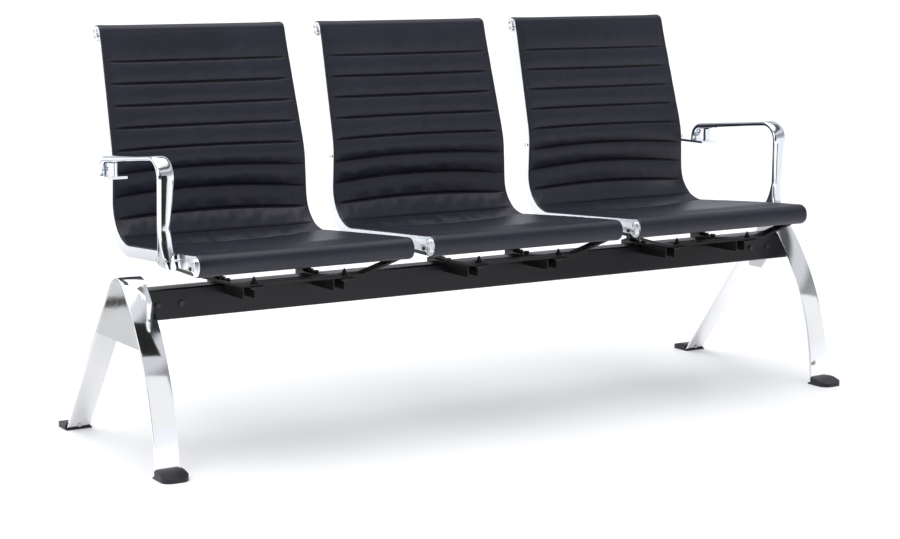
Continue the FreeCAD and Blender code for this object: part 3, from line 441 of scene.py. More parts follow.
@dataclass(frozen=True)
class Finish:
    """What every finish has: its slot, its two close tones and its roughness with soft hand marks."""

    slot: str
    dark: Point
    light: Point
    roughness: float
    roughness_amount: float
    grain_scale: float
    grain_depth: float
    metallic: float = 0.0
    specular: float = 0.5
    tone_scale: float = 5.0
    mark_scale: float = 7.0

    def material(self, effects: Effects) -> bpy.types.Material:
        """The finish as a material on object coordinates.

        Args:
            effects: The shared node groups.

        Returns:
            The material, named as its slot.
        """
        values = {"Metallic": self.metallic, "Specular IOR Level": self.specular}
        made, shader = new_material(self.slot, values)
        tree = made.node_tree
        vector = add_node(tree, "ShaderNodeTexCoord", {}).outputs["Object"]
        tones = {"Vector": vector, "Scale": self.tone_scale, "Dark": (*self.dark, 1.0),
                 "Light": (*self.light, 1.0)}
        tone = add_node(tree, "ShaderNodeGroup", tones, node_tree=effects.tone)
        tree.links.new(tone.outputs["Color"], shader.inputs["Base Color"])
        levels = {"Vector": vector, "Scale": self.mark_scale, "Level": self.roughness,
                  "Amount": self.roughness_amount}
        marks = add_node(tree, "ShaderNodeGroup", levels, node_tree=effects.smudges)
        tree.links.new(marks.outputs["Roughness"], shader.inputs["Roughness"])
        self.dress(tree, shader, vector, effects)
        return made

    def dress(self, tree: Tree, shader: Node, vector: Socket, effects: Effects) -> None:
        """Adds the finish's own grain.

        Args:
            tree: The material's tree.
            shader: Its shader.
            vector: Object coordinates.
            effects: The shared node groups.
        """
        given = {"Vector": vector, "Scale": self.grain_scale}
        peel = add_node(tree, "ShaderNodeGroup", given, node_tree=effects.peel)
        tree.links.new(bump(tree, peel.outputs["Height"], self.grain_depth), shader.inputs["Normal"])


@dataclass(frozen=True)
class Leatherette(Finish):
    """Soft satin leatherette: pebble grain on the cover's own coordinates, sewn seams with painted shade."""

    grain_strength: float = 0.6
    stitch_depth: float = 0.0004
    stitch_length: float = 0.0045
    stitch_width: float = 0.0007
    # Painted shade beside the seams: the colour is multiplied towards this tone near each seam
    fold_tone: Point = (0.35, 0.35, 0.36)

    def dress(self, tree: Tree, shader: Node, vector: Socket, effects: Effects) -> None:
        """Adds the pebble grain, the stitches and painted shade beside each seam.

        Args:
            tree: The material's tree.
            shader: Its shader.
            vector: Object coordinates, which this finish leaves aside for the cover's own.
            effects: The shared node groups.
        """
        cover = add_node(tree, "ShaderNodeUVMap", {}, uv_map="surface")
        given = {"Vector": cover.outputs["UV"], "Scale": self.grain_scale}
        grain = add_node(tree, "ShaderNodeGroup", given, node_tree=effects.pebble)
        seam, across = (add_node(tree, "ShaderNodeAttribute", {}, attribute_name=mark).outputs["Fac"]
                        for mark in ("seam", "across"))
        given = {"Seam": seam, "Along": across, "Length": self.stitch_length, "Width": self.stitch_width}
        sewn = add_node(tree, "ShaderNodeGroup", given, node_tree=effects.stitches)
        normal = bump(tree, grain.outputs["Height"], self.grain_depth, self.grain_strength)
        normal = bump(tree, sewn.outputs["Stitch"], self.stitch_depth, Normal=normal)
        tree.links.new(normal, shader.inputs["Normal"])
        colour = shader.inputs["Base Color"].links[0].from_socket
        # Painted shade: the base colour is multiplied darker beside each seam
        tones = {"Factor": sewn.outputs["Fold"], 6: colour, 7: (*self.fold_tone, 1.0)}
        mix = add_node(tree, "ShaderNodeMix", tones, data_type="RGBA", blend_type="MULTIPLY")
        tree.links.new(mix.outputs[2], shader.inputs["Base Color"])


@dataclass(frozen=True)
class Polished(Finish):
    """Polished metal: soft hand marks and a very fine polishing wave."""

    metallic: float = 1.0


FINISHES = (
    Leatherette("leatherette", (0.005, 0.0055, 0.015), (0.009, 0.0095, 0.022), 0.42, 0.12, 620.0, 0.00012,
                specular=0.48),
    Polished("polished_aluminium", (0.84, 0.86, 0.89), (0.92, 0.93, 0.95), 0.18, 0.10, 90.0, 0.00002),
    Polished("arm_chrome", (0.82, 0.85, 0.90), (0.89, 0.91, 0.94), 0.07, 0.06, 40.0, 0.00003),
    Polished("leg_chrome", (0.84, 0.84, 0.85), (0.90, 0.90, 0.91), 0.08, 0.06, 26.0, 0.00008),
    Finish("beam_steel", (0.003, 0.003, 0.0045), (0.005, 0.005, 0.0075), 0.30, 0.08, 350.0, 0.00003,
           specular=0.32),
    Finish("black_steel", (0.004, 0.004, 0.005), (0.007, 0.007, 0.008), 0.38, 0.10, 350.0, 0.00005,
           specular=0.34),
    Finish("black_fasteners", (0.008, 0.008, 0.009), (0.014, 0.014, 0.015), 0.34, 0.10, 500.0, 0.00003),
    Polished("bright_screws", (0.55, 0.56, 0.58), (0.68, 0.69, 0.70), 0.24, 0.08, 400.0, 0.00002),
    Finish("shoe_plastic", (0.007, 0.007, 0.012), (0.012, 0.012, 0.019), 0.42, 0.10, 900.0, 0.00010,
           specular=0.42),
)


# The slings

@dataclass
class SeatLine:
    """The seat's side view, its half widths and the sling's thickness, in the model's own numbers."""

    front_bar: tuple[float, float] = (-177.0, 442.0)
    front_roll: float = 18.3
    top_roll: float = 14.5
    pan_slope: float = 4.0
    pan_length: float = 379.0
    bend_radius: float = 93.0
    lower_back: float = 69.0
    lumbar_radius: float = 201.0
    back_lean: float = 16.2
    upper_back: float = 268.5
    roll_wrap: float = 215.0
    front_half: float = 255.0
    bend_half: float = 244.5
    top_half: float = 233.0
    straight_end: float = 32.0
    rib_count: int = 9
    rib_pitch: float = 52.3
    first_seam: float = 71.0
    crest: float = 9.6
    seam: float = 3.4
    hem: float = 5.2
    under_crest: float = 7.0
    under_hem: float = 3.2
    edge: float = 4.0
    edge_seam: float = 3.0
    front_taper: float = 45.0
    pan_thinner: float = 1.4
    top_thinner: float = 1.2
    top_fall: float = 0.35
    rib_power: float = 0.5
    top_power: float = 0.45
    bow: float = 13.0
    bow_power: float = 1.5
    bow_fade: float = 150.0
    sag: float = 13.0

    def __post_init__(self) -> None:
        """Walks the side line and keeps its marks."""
        tail = self.roll_wrap - self.pan_slope
        angle = math.radians(tail)
        y = self.front_bar[0] - self.front_roll * math.sin(angle)
        z = self.front_bar[1] + self.front_roll * math.cos(angle)
        path = SidePath((y, z), tail)
        path.bend(self.front_roll, -self.roll_wrap).run(self.pan_length)
        path.bend(self.bend_radius, 90.0 + self.pan_slope).run(self.lower_back)
        path.bend(self.lumbar_radius, -self.back_lean).run(self.upper_back)
        self.path = path.bend(self.top_roll, -self.roll_wrap)
        self.s_front, self.s_pan, self.s_bend, _, _, self.s_top, self.s_end = path.ends
        self.seams = self.s_top - self.first_seam - self.rib_pitch * np.arange(self.rib_count, -1.0, -1.0)

    def half_width(self, s: Array) -> Array:
        """Half width of the sling: widest at the front, narrowest at the top.

        Args:
            s: Distances along the side line.

        Returns:
            The half width at each distance.
        """
        pan = between(s, self.s_front + self.straight_end, self.front_half, self.s_pan, self.bend_half)
        back = between(s, self.s_bend, self.bend_half, self.s_top - self.straight_end, self.top_half)
        return np.where(s < self.s_pan, pan, back)

    def half_thickness(self, s: Array) -> Array:
        """Half thickness at the middle: a flattened half wave between seams, smooth on the pan, thin at hems.

        Args:
            s: Distances along the side line.

        Returns:
            The half thickness at each distance.
        """
        first, last = self.seams[0], self.seams[-1]
        front_end = self.s_front + self.front_taper
        full = between(s, self.s_front, self.hem, front_end, self.crest - self.pan_thinner)
        pan = between(s, first - self.rib_pitch / 2, 0.0, first, 1.0)
        pan = full + (self.seam - full) * (1.0 - np.sqrt(np.maximum(1.0 - pan ** 2, 0.0)))
        share = (s - first) / self.rib_pitch % 1.0
        rib = self.seam + np.abs(np.sin(np.pi * share)) ** self.rib_power * (self.crest - self.seam)
        share = between(s, last, 0.0, self.s_top, 1.0)
        rise = np.abs(np.sin(np.pi * share)) ** self.top_power * (self.crest - self.top_thinner - self.seam)
        top = self.seam + (self.hem - self.seam) * share + rise * (1.0 - self.top_fall * share)
        zones = [(s <= self.s_front) | (s >= self.s_top), s < first, s < last]
        return np.select(zones, [np.full_like(s, self.hem), pan, rib], top)

    def hang(self, s: Array) -> Array:
        """How far the sling's middle hangs: half a wave from the front to the top."""
        share = between(s, self.s_front + self.straight_end, 0.0, self.s_top - self.straight_end, 1.0)
        return self.sag * np.sin(np.pi * share)

    def seam_bow(self, s: Array) -> Array:
        """How far a seam's middle lies above its ends: nothing at the top, most low down, fading on the pan.

        The rise is a power of the share from the second seam down to the seventh, and the fade is half a
        cosine over the pan's rear part.

        Args:
            s: Distances along the side line.

        Returns:
            The rise at each distance.
        """
        down = between(s, self.seams[-2], 0.0, self.seams[3], 1.0)
        fade = between(s, self.seams[0] - self.bow_fade, 0.0, self.seams[0], 1.0)
        return self.bow * down ** self.bow_power * (0.5 - 0.5 * np.cos(np.pi * fade))

    def seam_distance(self, s: Array) -> Array:
        """Distance to the nearest seam along the side line."""
        return np.abs(s[..., None] - self.seams).min(axis=-1)

    def stations(self) -> Array:
        """Where the sections lie: close at the seams and round the rolls, wider on the pan.

        Returns:
            Distances along the side line.
        """
        beside = np.array([0.8, 1.6, 2.6, 4.0, 6.0, 9.0])
        near = np.concatenate([-beside[::-1], [0.0], beside])
        reach = beside[-1]
        middles = np.linspace(0.0, 1.0, 7)[1:-1] * (self.rib_pitch - 2 * reach) + reach
        marks = [spaced([0.0, self.s_front, self.seams[0] - reach], (30, 40)),
                 (self.seams[:, None] + near).ravel(), (self.seams[:-1, None] + middles).ravel(),
                 spaced([self.seams[-1] + reach, self.s_top, self.s_end], (14, 26))]
        return np.unique(np.round(np.concatenate(marks), 4))


# The cover's cloth: a soft sheet a little larger than the shell, held at the seams and blown up gently
COVER_CLOTH = {"vertex_group_mass": "held", "quality": 4, "mass": 0.4, "tension_stiffness": 20.0,
               "compression_stiffness": 20.0, "bending_stiffness": 4.0, "shrink_min": -0.004,
               "use_pressure": True, "uniform_pressure_force": 4.0}


@dataclass
class Sling:
    """One padded seat and back in a single piece, rolled round both bars."""

    line: SeatLine
    across_count: int = 61
    crowding: float = 0.4
    edge_inset: float = 3.6
    lip_height: float = 3.35
    roll_lip_height: float = 4.15
    roll_blend: float = 22.0
    lip_cover: float = 3.5
    bead_height: float = 2.6
    bead_swell: float = 1.3
    bead_drop: float = 0.9
    edge_power: int = 8
    groove_depth: float = 2.3
    groove_width: float = 2.5
    groove_power: int = 24
    pucker: float = 0.4
    pucker_length: float = 17.0
    pucker_place: float = 5.5
    pucker_reach: float = 5.0
    drift_along: tuple[float, float] = (0.031, 2.0)
    drift_across: tuple[float, float] = (0.043, 3.0)
    under_relief: float = 0.6
    end_margin: float = 4.0
    rest_per_rib: int = 8
    rest_counts: tuple[int, int] = (56, 10)
    held_reach: float = 0.5
    cloth_frames: int = 20
    most_swell: float = 4.0

    def section_places(self) -> Array:
        """Shares across the width, closer near the edges."""
        even = np.linspace(-1.0, 1.0, self.across_count)
        return np.sin(even * math.pi / 2) * self.crowding + even * (1.0 - self.crowding)

    def edge_profile(self, lip: Array, crown: Array, low: Array) -> tuple[Array, Array]:
        """The edge's rounded bead: out over the rail's lip, back under itself, then down to the lower face.

        Args:
            lip: Height just above the rail's lip, for each section.
            crown: Height of the bead's top, for each section.
            low: Height of the lower face's edge, for each section.

        Returns:
            Reach beyond the half width and height square to the side line, as sections by points.
        """
        over = self.lip_cover * np.array([0.3, 0.75, 1.0, 0.88, 0.45])
        reach = np.concatenate([[-1.6], over, [-0.1, -0.35, -0.35, -1.3]])
        middle = (crown + lip) / 2
        height = [crown, crown - 0.25, crown - 0.9, middle, lip + 0.35, lip, lip - 0.1, lip - 1.5,
                  low + 1.8, low + 0.3]
        return np.broadcast_to(reach, (len(lip), len(reach))), np.concatenate(height, axis=1)

    def rings(self, s: Array, swell: Array, groove_depth: float) -> tuple[Array, Array, Array, Array]:
        """Sections of the sling about a seat's middle.

        The upper face is the half thickness, full across the width and falling by a high power of the share
        to its edge bead, less the hang times one minus the share squared. Grooves are bell curves at the
        seams, and puckers are short drifting waves beside them. The lower face has less relief. The sections
        are bowed: their middles lie further up the back by the seam's bow times one minus the share squared.

        Args:
            s: Distances of the sections along the side line, as a column.
            swell: How far the upper face stands out further, as sections by shares.
            groove_depth: Depth of the seams' grooves.

        Returns:
            Distances along, across and square to the side line, and the distance to the nearest seam.
        """
        line, share = self.line, self.section_places()
        half, thick = line.half_width(s), line.half_thickness(s)
        full = np.clip((thick - line.seam) / (line.crest - line.seam), 0.0, 1.0)
        past = np.minimum(s - line.s_front, line.s_top - s)
        rolled = past <= 0.0
        lip = between(past, 0.0, self.roll_lip_height, self.roll_blend, self.lip_height)
        drop = between(past, 0.0, self.bead_drop, self.roll_blend, 0.0)
        crown = lip + self.bead_height + full * self.bead_swell - drop
        low_edge = np.where(rolled, -line.edge_seam, -line.edge)
        fall = np.abs(share) ** self.edge_power
        hang = line.hang(s) * (1.0 - share ** 2)
        away = line.seam_distance(s)
        inside = 1.0 - np.abs(share) ** self.groove_power
        groove = groove_depth * np.exp(-(away / self.groove_width) ** 2) * inside
        x = share * (half - self.edge_inset)
        (rate_s, most_s), (rate_x, most_x) = self.drift_along, self.drift_across
        drift = np.sin(s * rate_s) * most_s + np.cos(x * rate_x) * most_x
        wave = np.cos(2 * math.pi * x / self.pucker_length + drift)
        fade = np.exp(-((away - self.pucker_place) / self.pucker_reach) ** 2)
        pucker = self.pucker * wave * fade * inside * ~rolled
        top = crown * fall + thick * (1.0 - fall) - hang - groove + pucker + swell
        relief = full * (line.under_crest - line.seam) * self.under_relief
        under = np.where(rolled, line.under_hem, line.seam + relief)
        low = low_edge * fall - under * (1.0 - fall) - hang
        reach, height = self.edge_profile(lip, crown, low_edge)
        side_x = half + reach
        across = np.concatenate([x, side_x, x[:, ::-1], -side_x[:, ::-1]], axis=1)
        offset = np.concatenate([top, height, low[:, ::-1], height[:, ::-1]], axis=1)
        bowed = line.seam_bow(s) * np.maximum(1.0 - (across / half) ** 2, 0.0)
        return s + bowed, across, offset, np.broadcast_to(away, across.shape)

    def rest_stations(self) -> Array:
        """Where the cloth pass's sections lie: a few to a rib and about 8 mm apart on the pan.

        Returns:
            Distances along the side line, as a column.
        """
        line, count = self.line, self.rest_per_rib
        ribs = (line.seams[:-1, None] + np.arange(count) * line.rib_pitch / count).ravel()
        pan_count, top_count = self.rest_counts
        pan = np.linspace(line.s_front + self.end_margin, line.seams[0], pan_count)[:-1]
        top = np.linspace(line.seams[-1], line.s_top - self.end_margin, top_count)
        return np.concatenate([pan, ribs, top])[:, None]

    def settle(self) -> Array:
        """Lets the cover swell and crease in a short cloth pass on a coarser shell of the same form.

        The seams, the edges and the lower face are held, and the cover is a little larger than the shell, so
        that it puckers between the seams. Only the movement square to the side line is kept, capped.

        Returns:
            The movement of the upper face, as rest stations by shares, in millimetres.
        """
        s, count, path = self.rest_stations(), self.across_count, self.line.path
        flat = np.zeros((len(s), count))
        along, across, offset, away = self.rings(s, flat, 0.0)
        points = in_metres(across, *path.beside(along, offset))
        shell = place("cover_shell", swept_mesh("cover_shell", path, along, across, offset))
        held = np.ones(across.shape)
        held[1:-1, 2:count - 2] = away[1:-1, 2:count - 2] < self.held_reach
        shell.vertex_groups.new(name="held").add(np.flatnonzero(held).tolist(), 1.0, "REPLACE")
        cloth = shell.modifiers.new("cover", "CLOTH")
        for label, value in COVER_CLOTH.items():
            setattr(cloth.settings, label, value)
        cloth.settings.effector_weights.gravity = 0.0
        cloth.collision_settings.use_collision = False
        for number in range(1, self.cloth_frames + 1):
            bpy.context.scene.frame_set(number)
        moved = np.empty(points.size, np.float32)
        final = shell.evaluated_get(bpy.context.evaluated_depsgraph_get()).to_mesh()
        final.vertices.foreach_get("co", moved)
        bpy.context.scene.frame_set(1)
        bpy.data.objects.remove(shell)
        step = (moved.reshape(points.shape) - points)[:, :count] / MM
        _, _, heading = path.at(along[:, :count])
        square = step[..., 2] * np.cos(heading) - step[..., 1] * np.sin(heading)
        log.info("cloth pass: %.2f to %.2f mm", square.min(), square.max())
        return np.clip(square, -self.most_swell, self.most_swell)

    def mesh(self, centre_x: float, name: str, settled: Array) -> Mesh:
        """The sling's mesh at one seat.

        Args:
            centre_x: The seat's middle.
            name: Name of the mesh.
            settled: The cloth pass's movement, as rest stations by shares.

        Returns:
            The mesh.
        """
        s, rest = self.line.stations()[:, None], self.rest_stations()[:, 0]
        row = np.clip(np.searchsorted(rest, s[:, 0]) - 1, 0, len(rest) - 2)
        part = np.clip((s[:, 0] - rest[row]) / (rest[row + 1] - rest[row]), 0.0, 1.0)[:, None]
        swell = settled[row] * (1.0 - part) + settled[row + 1] * part
        along, across, offset, away = self.rings(s, swell, self.groove_depth)
        marks = {"seam": away * MM, "across": across * MM}
        return swept_mesh(name, self.line.path, along, centre_x + across, offset, marks)


# Swept pieces

def bar_loop(half_side: float, half_height: float, radius: float, steps: int = 5) -> tuple[Array, Array]:
    """A rectangle with rounded corners: each corner is a quarter circle about its own centre.

    Args:
        half_side: Half the width.
        half_height: Half the height.
        radius: Corner radius.
        steps: Points on each corner.

    Returns:
        The loop's two coordinates, anticlockwise.
    """
    side_sign, height_sign = np.array([1, -1, -1, 1]), np.array([1, 1, -1, -1])
    angle = np.linspace(0.0, math.pi / 2, steps) + np.arange(4)[:, None] * math.pi / 2
    side = side_sign[:, None] * (half_side - radius) + radius * np.cos(angle)
    height = height_sign[:, None] * (half_height - radius) + radius * np.sin(angle)
    return side.ravel(), height.ravel()


@dataclass
class LegStrap:
    """The flat bar of a leg, bent into an arched inverted V and cut level on its shoes' soles."""

    outer_x: float = 931.0
    width: float = 56.0
    thickness: float = 6.0
    corner: float = 1.3
    front_foot: float = -181.0
    rear_foot: float = 342.0
    front_lean: tuple[float, float] = (0.8, 42.4)
    front_radius: float = 575.0
    rear_lean: float = 37.8
    apex_radius: float = 45.0
    sole: float = 4.0
    end_margins: tuple[float, float] = (14.0, 20.0)
    counts: tuple[int, ...] = (60, 6, 40, 30)

    def path(self) -> SidePath:
        """Walks the outer face in side view. Two straight runs beside the apex close it on the rear foot.

        Returns:
            The path, from the front foot to the rear one.
        """
        low, high = self.front_lean
        path = SidePath((self.front_foot, 0.0), 90.0 - low).bend(self.front_radius, low - high)
        rise, fall = math.radians(90.0 - high), math.radians(self.rear_lean - 90.0)
        turn_y = self.apex_radius * (math.sin(rise) - math.sin(fall))
        turn_z = self.apex_radius * (math.cos(fall) - math.cos(rise))
        slopes = np.array([[math.cos(rise), math.cos(fall)], [math.sin(rise), math.sin(fall)]])
        gap = np.array([self.rear_foot - path.here[0] - turn_y, -path.here[1] - turn_z])
        front_run, rear_run = np.linalg.solve(slopes, gap)
        path.run(float(front_run)).bend(self.apex_radius, -(180.0 - high - self.rear_lean))
        return path.run(float(rear_run))

    def level_end(self, path: SidePath, s: float, offset: Array) -> Array:
        """Finds a loop cut level at the soles' height, by a few steps along the path's slope.

        Args:
            path: The outer face.
            s: A distance near the end.
            offset: Offsets of the loop's points.

        Returns:
            The distance of each point.
        """
        found = np.full_like(offset, s)
        for _ in range(3):
            _, z = path.beside(found, offset)
            found = found + (self.sole - z) / np.sin(path.at(found)[2])
        return found

    def mesh(self, side: Side, name: str) -> Mesh:
        """The strap's mesh: a rounded bar swept along the path, its first and last loops cut level.

        Args:
            side: The end of the bench.
            name: Name of the mesh.

        Returns:
            The mesh.
        """
        path = self.path()
        across, height = bar_loop(self.width / 2, self.thickness / 2, self.corner)
        offset = height - self.thickness / 2
        start, stop = self.end_margins
        first, run, apex, last = path.ends
        inside = spaced([start, first, run, apex, last - stop], self.counts)[:, None] + np.zeros_like(offset)
        front, rear = (self.level_end(path, s, offset)[None] for s in (self.sole, last - self.sole))
        along = np.concatenate([front, inside, rear])
        centre_x = side.value * (self.outer_x - self.width / 2)
        rows = np.ones((len(along), 1))
        return swept_mesh(name, path, along, centre_x + across * rows, offset * rows)


@dataclass
class Armrest:
    """A loop armrest: a crowned bar that rises from a flared foot on the pan's rail and ends at the back."""

    line: SeatLine
    width: float = 38.0
    half_depth: float = 7.5
    foot_y: float = -55.0
    foot_low: float = 427.0
    foot_top: float = 455.0
    foot_half: float = 33.0
    foot_reach: float = 26.0
    foot_power: float = 1.9
    flare_power: float = 1.2
    neck_z: float = 508.0
    neck_inside: float = 7.0
    neck_outside: float = 2.0
    crown_power: float = 2.8
    foot_crown_power: float = 5.0
    crown_share: float = 0.6
    rise: float = 104.0
    lean: float = 5.0
    front_radius: float = 42.0
    front_thinning: float = 1.1
    thinning_run: float = 60.0
    slope: float = 5.2
    top_length: float = 262.0
    top_growth: float = 1.9
    rear_radius: float = 30.0
    rear_turn: float = 84.8
    rear_drop: float = 8.0
    rail_gap: float = 4.1
    rail_slant: float = 0.03
    loop_points: int = 56
    first_angle: float = 0.02
    counts: tuple[int, ...] = (40, 16, 36, 40, 28)

    def path(self) -> SidePath:
        """Walks the bar's middle line.

        Returns:
            The path, from the foot's underside to the rear end.
        """
        lean = math.radians(self.lean)
        neck_y = self.foot_y - (self.neck_z - self.foot_top) * math.tan(lean)
        down = (self.neck_z - self.foot_low) / math.cos(lean)
        start = (neck_y + down * math.sin(lean), self.foot_low)
        path = SidePath(start, 90.0 + self.lean).run(down).run(self.rise)
        path.bend(self.front_radius, -(90.0 + self.lean + self.slope)).run(self.top_length)
        return path.bend(self.rear_radius, -self.rear_turn).run(self.rear_drop)

    def inner_x(self) -> float:
        """Distance from the seat's middle to the bar's inner face, just outside the rail."""
        level = (self.foot_y - self.line.front_bar[0]) / math.cos(math.radians(self.line.pan_slope))
        return float(self.line.half_width(np.array([self.line.s_front + level]))[0]) + self.rail_gap

    def mesh(self, side: Side, name: str) -> Mesh:
        """The armrest's mesh.

        Loops between a square and a circle are swept along the middle line. The depth falls from the foot to
        the neck by a power of the share left, is a little less in front and grows along the top. The bar is
        at its narrowest at the neck and widens in a straight line to the front bend.

        Args:
            side: The end of the bench.
            name: Name of the mesh.

        Returns:
            The mesh.
        """
        path = self.path()
        neck, upright, bend, top, _, end = path.ends
        s = spaced([0.0, neck, upright, bend, top, end], self.counts)[:, None]
        left = 1.0 - between(s, 0.0, 0.0, neck, 1.0)
        narrow = (1.0 - left) * between(s, neck, 1.0, upright, 0.0)
        thin_end = bend + self.thinning_run
        depth = self.half_depth + (self.foot_half - self.half_depth) * left ** self.foot_power
        depth = depth - between(s, upright, 0.0, thin_end, self.front_thinning)
        depth = depth + between(s, thin_end, 0.0, top, self.top_growth)
        flare = (self.foot_reach - self.width) * left ** self.flare_power
        low_x = self.inner_x() + self.neck_inside * narrow
        high_x = self.inner_x() + self.width - self.neck_outside * narrow + flare
        power = 2.0 / between(left, 0.0, self.crown_power, self.crown_share, self.foot_crown_power)
        angle = np.linspace(0.0, 2 * math.pi, self.loop_points, endpoint=False)[None] + self.first_angle
        side_unit = np.sign(np.cos(angle)) * np.abs(np.cos(angle)) ** power
        offset = depth * np.sign(np.sin(angle)) * np.abs(np.sin(angle)) ** power
        across = (low_x + high_x) / 2 + side_unit * (high_x - low_x) / 2 + self.rail_slant * offset * left
        seat_x = SEATS[3 if side is Side.RIGHT else 1]
        along = np.broadcast_to(s, offset.shape)
        return swept_mesh(name, path, along, seat_x + side.value * across, offset)


# The carried-over solids

@dataclass
class EdgeTool:
    """Modifiers that weld a solid's loose triangles, shade it smooth up to an angle and soften its edges."""

    smooth_angle: float = 32.0
    bevel_angle: float = 40.0
    weld_reach: float = 0.01

    def __post_init__(self) -> None:
        """Builds the two geometry groups."""
        self.weld = self.build_weld()
        self.shade = self.build_shade()

    def build_weld(self) -> Tree:
        """Drops stored normals and merges points in the same place.

        Returns:
            The group.
        """
        group, given, results = new_group("weld", ("Geometry",), ("Geometry",), "GeometryNodeTree")
        drop = add_node(group, "GeometryNodeRemoveAttribute", {**given, "Name": "custom_normal"})
        whole = {"Geometry": drop.outputs["Geometry"], "Distance": self.weld_reach * MM}
        merge = add_node(group, "GeometryNodeMergeByDistance", whole)
        group.links.new(merge.outputs["Geometry"], results["Geometry"])
        return group

    def build_shade(self) -> Tree:
        """Shades smooth, with sharp edges where two faces meet at more than the angle.

        Returns:
            The group.
        """
        group, given, results = new_group("shade_by_angle", ("Geometry",), ("Geometry",), "GeometryNodeTree")
        smooth = add_node(group, "GeometryNodeSetShadeSmooth", given)
        turn = add_node(group, "GeometryNodeInputMeshEdgeAngle", {}).outputs["Unsigned Angle"]
        sides = {0: turn, 1: math.radians(self.smooth_angle)}
        more = add_node(group, "FunctionNodeCompare", sides, data_type="FLOAT", operation="GREATER_THAN")
        edges = {"Geometry": smooth.outputs["Geometry"], "Selection": more.outputs["Result"],
                 "Shade Smooth": False}
        sharp = add_node(group, "GeometryNodeSetShadeSmooth", edges, domain="EDGE")
        group.links.new(sharp.outputs["Geometry"], results["Geometry"])
        return group

    def soften(self, thing: Piece, width: float) -> None:
        """Welds, shades and bevels a carried-over solid, with its flat faces kept flat.

        Args:
            thing: The solid.
            width: Width of its softened edges in millimetres, or nothing to leave them.
        """
        thing.modifiers.new("weld", "NODES").node_group = self.weld
        thing.modifiers.new("shade", "NODES").node_group = self.shade
        if width > 0.0:
            bevel = thing.modifiers.new("soft_edges", "BEVEL")
            bevel.width = width * MM
            bevel.segments = 2
            bevel.limit_method = "ANGLE"
            bevel.angle_limit = math.radians(self.bevel_angle)
            bevel.use_clamp_overlap = True
            bevel.harden_normals = True


# Width of the softened edges by part of a node's name, in millimetres: every other node's edges are left
EDGE_WIDTHS = (("screws", 0.0), ("rail", 0.5), ("arm_rear", 1.0), ("shoe", 1.4), ("bracket_bolts", 0.4),
               ("bracket", 0.6), ("bow_bolts", 0.4), ("bow", 0.7), ("spacers", 0.6), ("spigot", 0.5))


def edge_width(node: str) -> float:
    """Width of the softened edges of one node, from the first name in the list that it holds."""
    return next((width for word, width in EDGE_WIDTHS if word in node), 0.0)


# The bench

class Bench:
    """The whole object: the carried-over solids in their finishes, and the pieces made here."""

    def __init__(self, effects: Effects) -> None:
        """Makes the finishes' materials and reads which slot each node has.

        Args:
            effects: The shared node groups.
        """
        self.materials = {finish.slot: finish.material(effects) for finish in FINISHES}
        self.slots = {part["node"]: part["material_slot"] for part in frame["record"]["subparts"]}
        self.edges = EdgeTool()
        self.line = SeatLine()

    def dress_solids(self) -> int:
        """Finishes and softens every carried-over node.

        Returns:
            How many there are.
        """
        for node, thing in frame["nodes"].items():
            material = self.materials[self.slots[node]]
            if not thing.material_slots:
                thing.data.materials.append(material)
            for holder in thing.material_slots:
                holder.material = material
            self.edges.soften(thing, edge_width(node))
        return len(frame["nodes"])

    def add_swept(self) -> list[Piece]:
        """Puts the legs' straps and the armrests at both ends.

        Returns:
            The pieces.
        """
        pieces = []
        makers = (("strap", "leg_strap_%s", "leg_chrome", LegStrap()),
                  ("armrest", "arm_%s", "arm_chrome", Armrest(self.line)))
        for side in Side:
            word = side.name.lower()
            for kind, node, slot, maker in makers:
                name = "%s_%s" % (kind, word)
                piece = place(name, maker.mesh(side, name))
                piece.data.materials.append(self.materials[slot])
                piece.modifiers.new("shade", "NODES").node_group = self.edges.shade
                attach(piece, "root")
                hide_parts(node % word)
                pieces.append(piece)
        return pieces

    def add_slings(self) -> list[Piece]:
        """Puts a padded sling on each seat.

        Returns:
            The slings.
        """
        sling, pieces = Sling(self.line), []
        settled = sling.settle()
        ways = {1: settled, 2: settled[:, ::-1], 3: (settled + settled[:, ::-1]) / 2}
        for number, centre_x in SEATS.items():
            name = "sling_%d" % number
            piece = place(name, sling.mesh(centre_x, name, ways[number]))
            piece.data.materials.append(self.materials["leatherette"])
            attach(piece, "root")
            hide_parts("seat_%d_sling" % number)
            pieces.append(piece)
        return pieces


# The studio

@dataclass(frozen=True)
class Card:
    """A flat card between two level edges, each from one X to another at a Y and a height."""

    name: str
    near: tuple[float, float, float, float]
    far: tuple[float, float, float, float]
    level: float


# How bright the cards shine, and how high the level ones lie over the floor
BRIGHT, GREY, DARK = 1.0, 0.72, 0.02
LOW = 0.004
CARDS = (
    Card("bright_left", (-0.86, -0.36, -0.95, 0.20), (-0.86, -0.36, -0.95, 0.66), BRIGHT),
    Card("bright_right", (1.20, 2.00, -0.95, 0.20), (1.20, 2.00, -0.95, 0.72), BRIGHT),
    Card("dark_front", (-0.87, -0.73, -0.42, 0.43), (-0.87, -0.73, -0.42, 0.70), DARK),
    Card("dark_right", (0.95, 1.55, -1.20, LOW), (1.60, 2.75, -2.80, LOW), DARK),
    Card("grey_near", (-2.20, -1.05, 0.85, LOW), (-2.40, -1.05, 1.70, LOW), GREY),
    Card("dark_rear", (-2.40, -1.05, 1.70, LOW), (-2.50, -1.05, 1.88, LOW), DARK),
    Card("grey_far", (-2.50, -1.05, 1.88, LOW), (-2.80, -1.05, 2.80, LOW), GREY),
)

# The surround's level by height, from straight down at 0 to straight up at 1
SURROUND = ((0.0, 0.70), (0.50, 1.10), (0.57, 1.00), (0.65, 0.46), (0.74, 0.30), (0.775, 0.72), (0.83, 0.72),
            (0.855, 0.10), (0.890, 0.10), (0.915, 0.80))


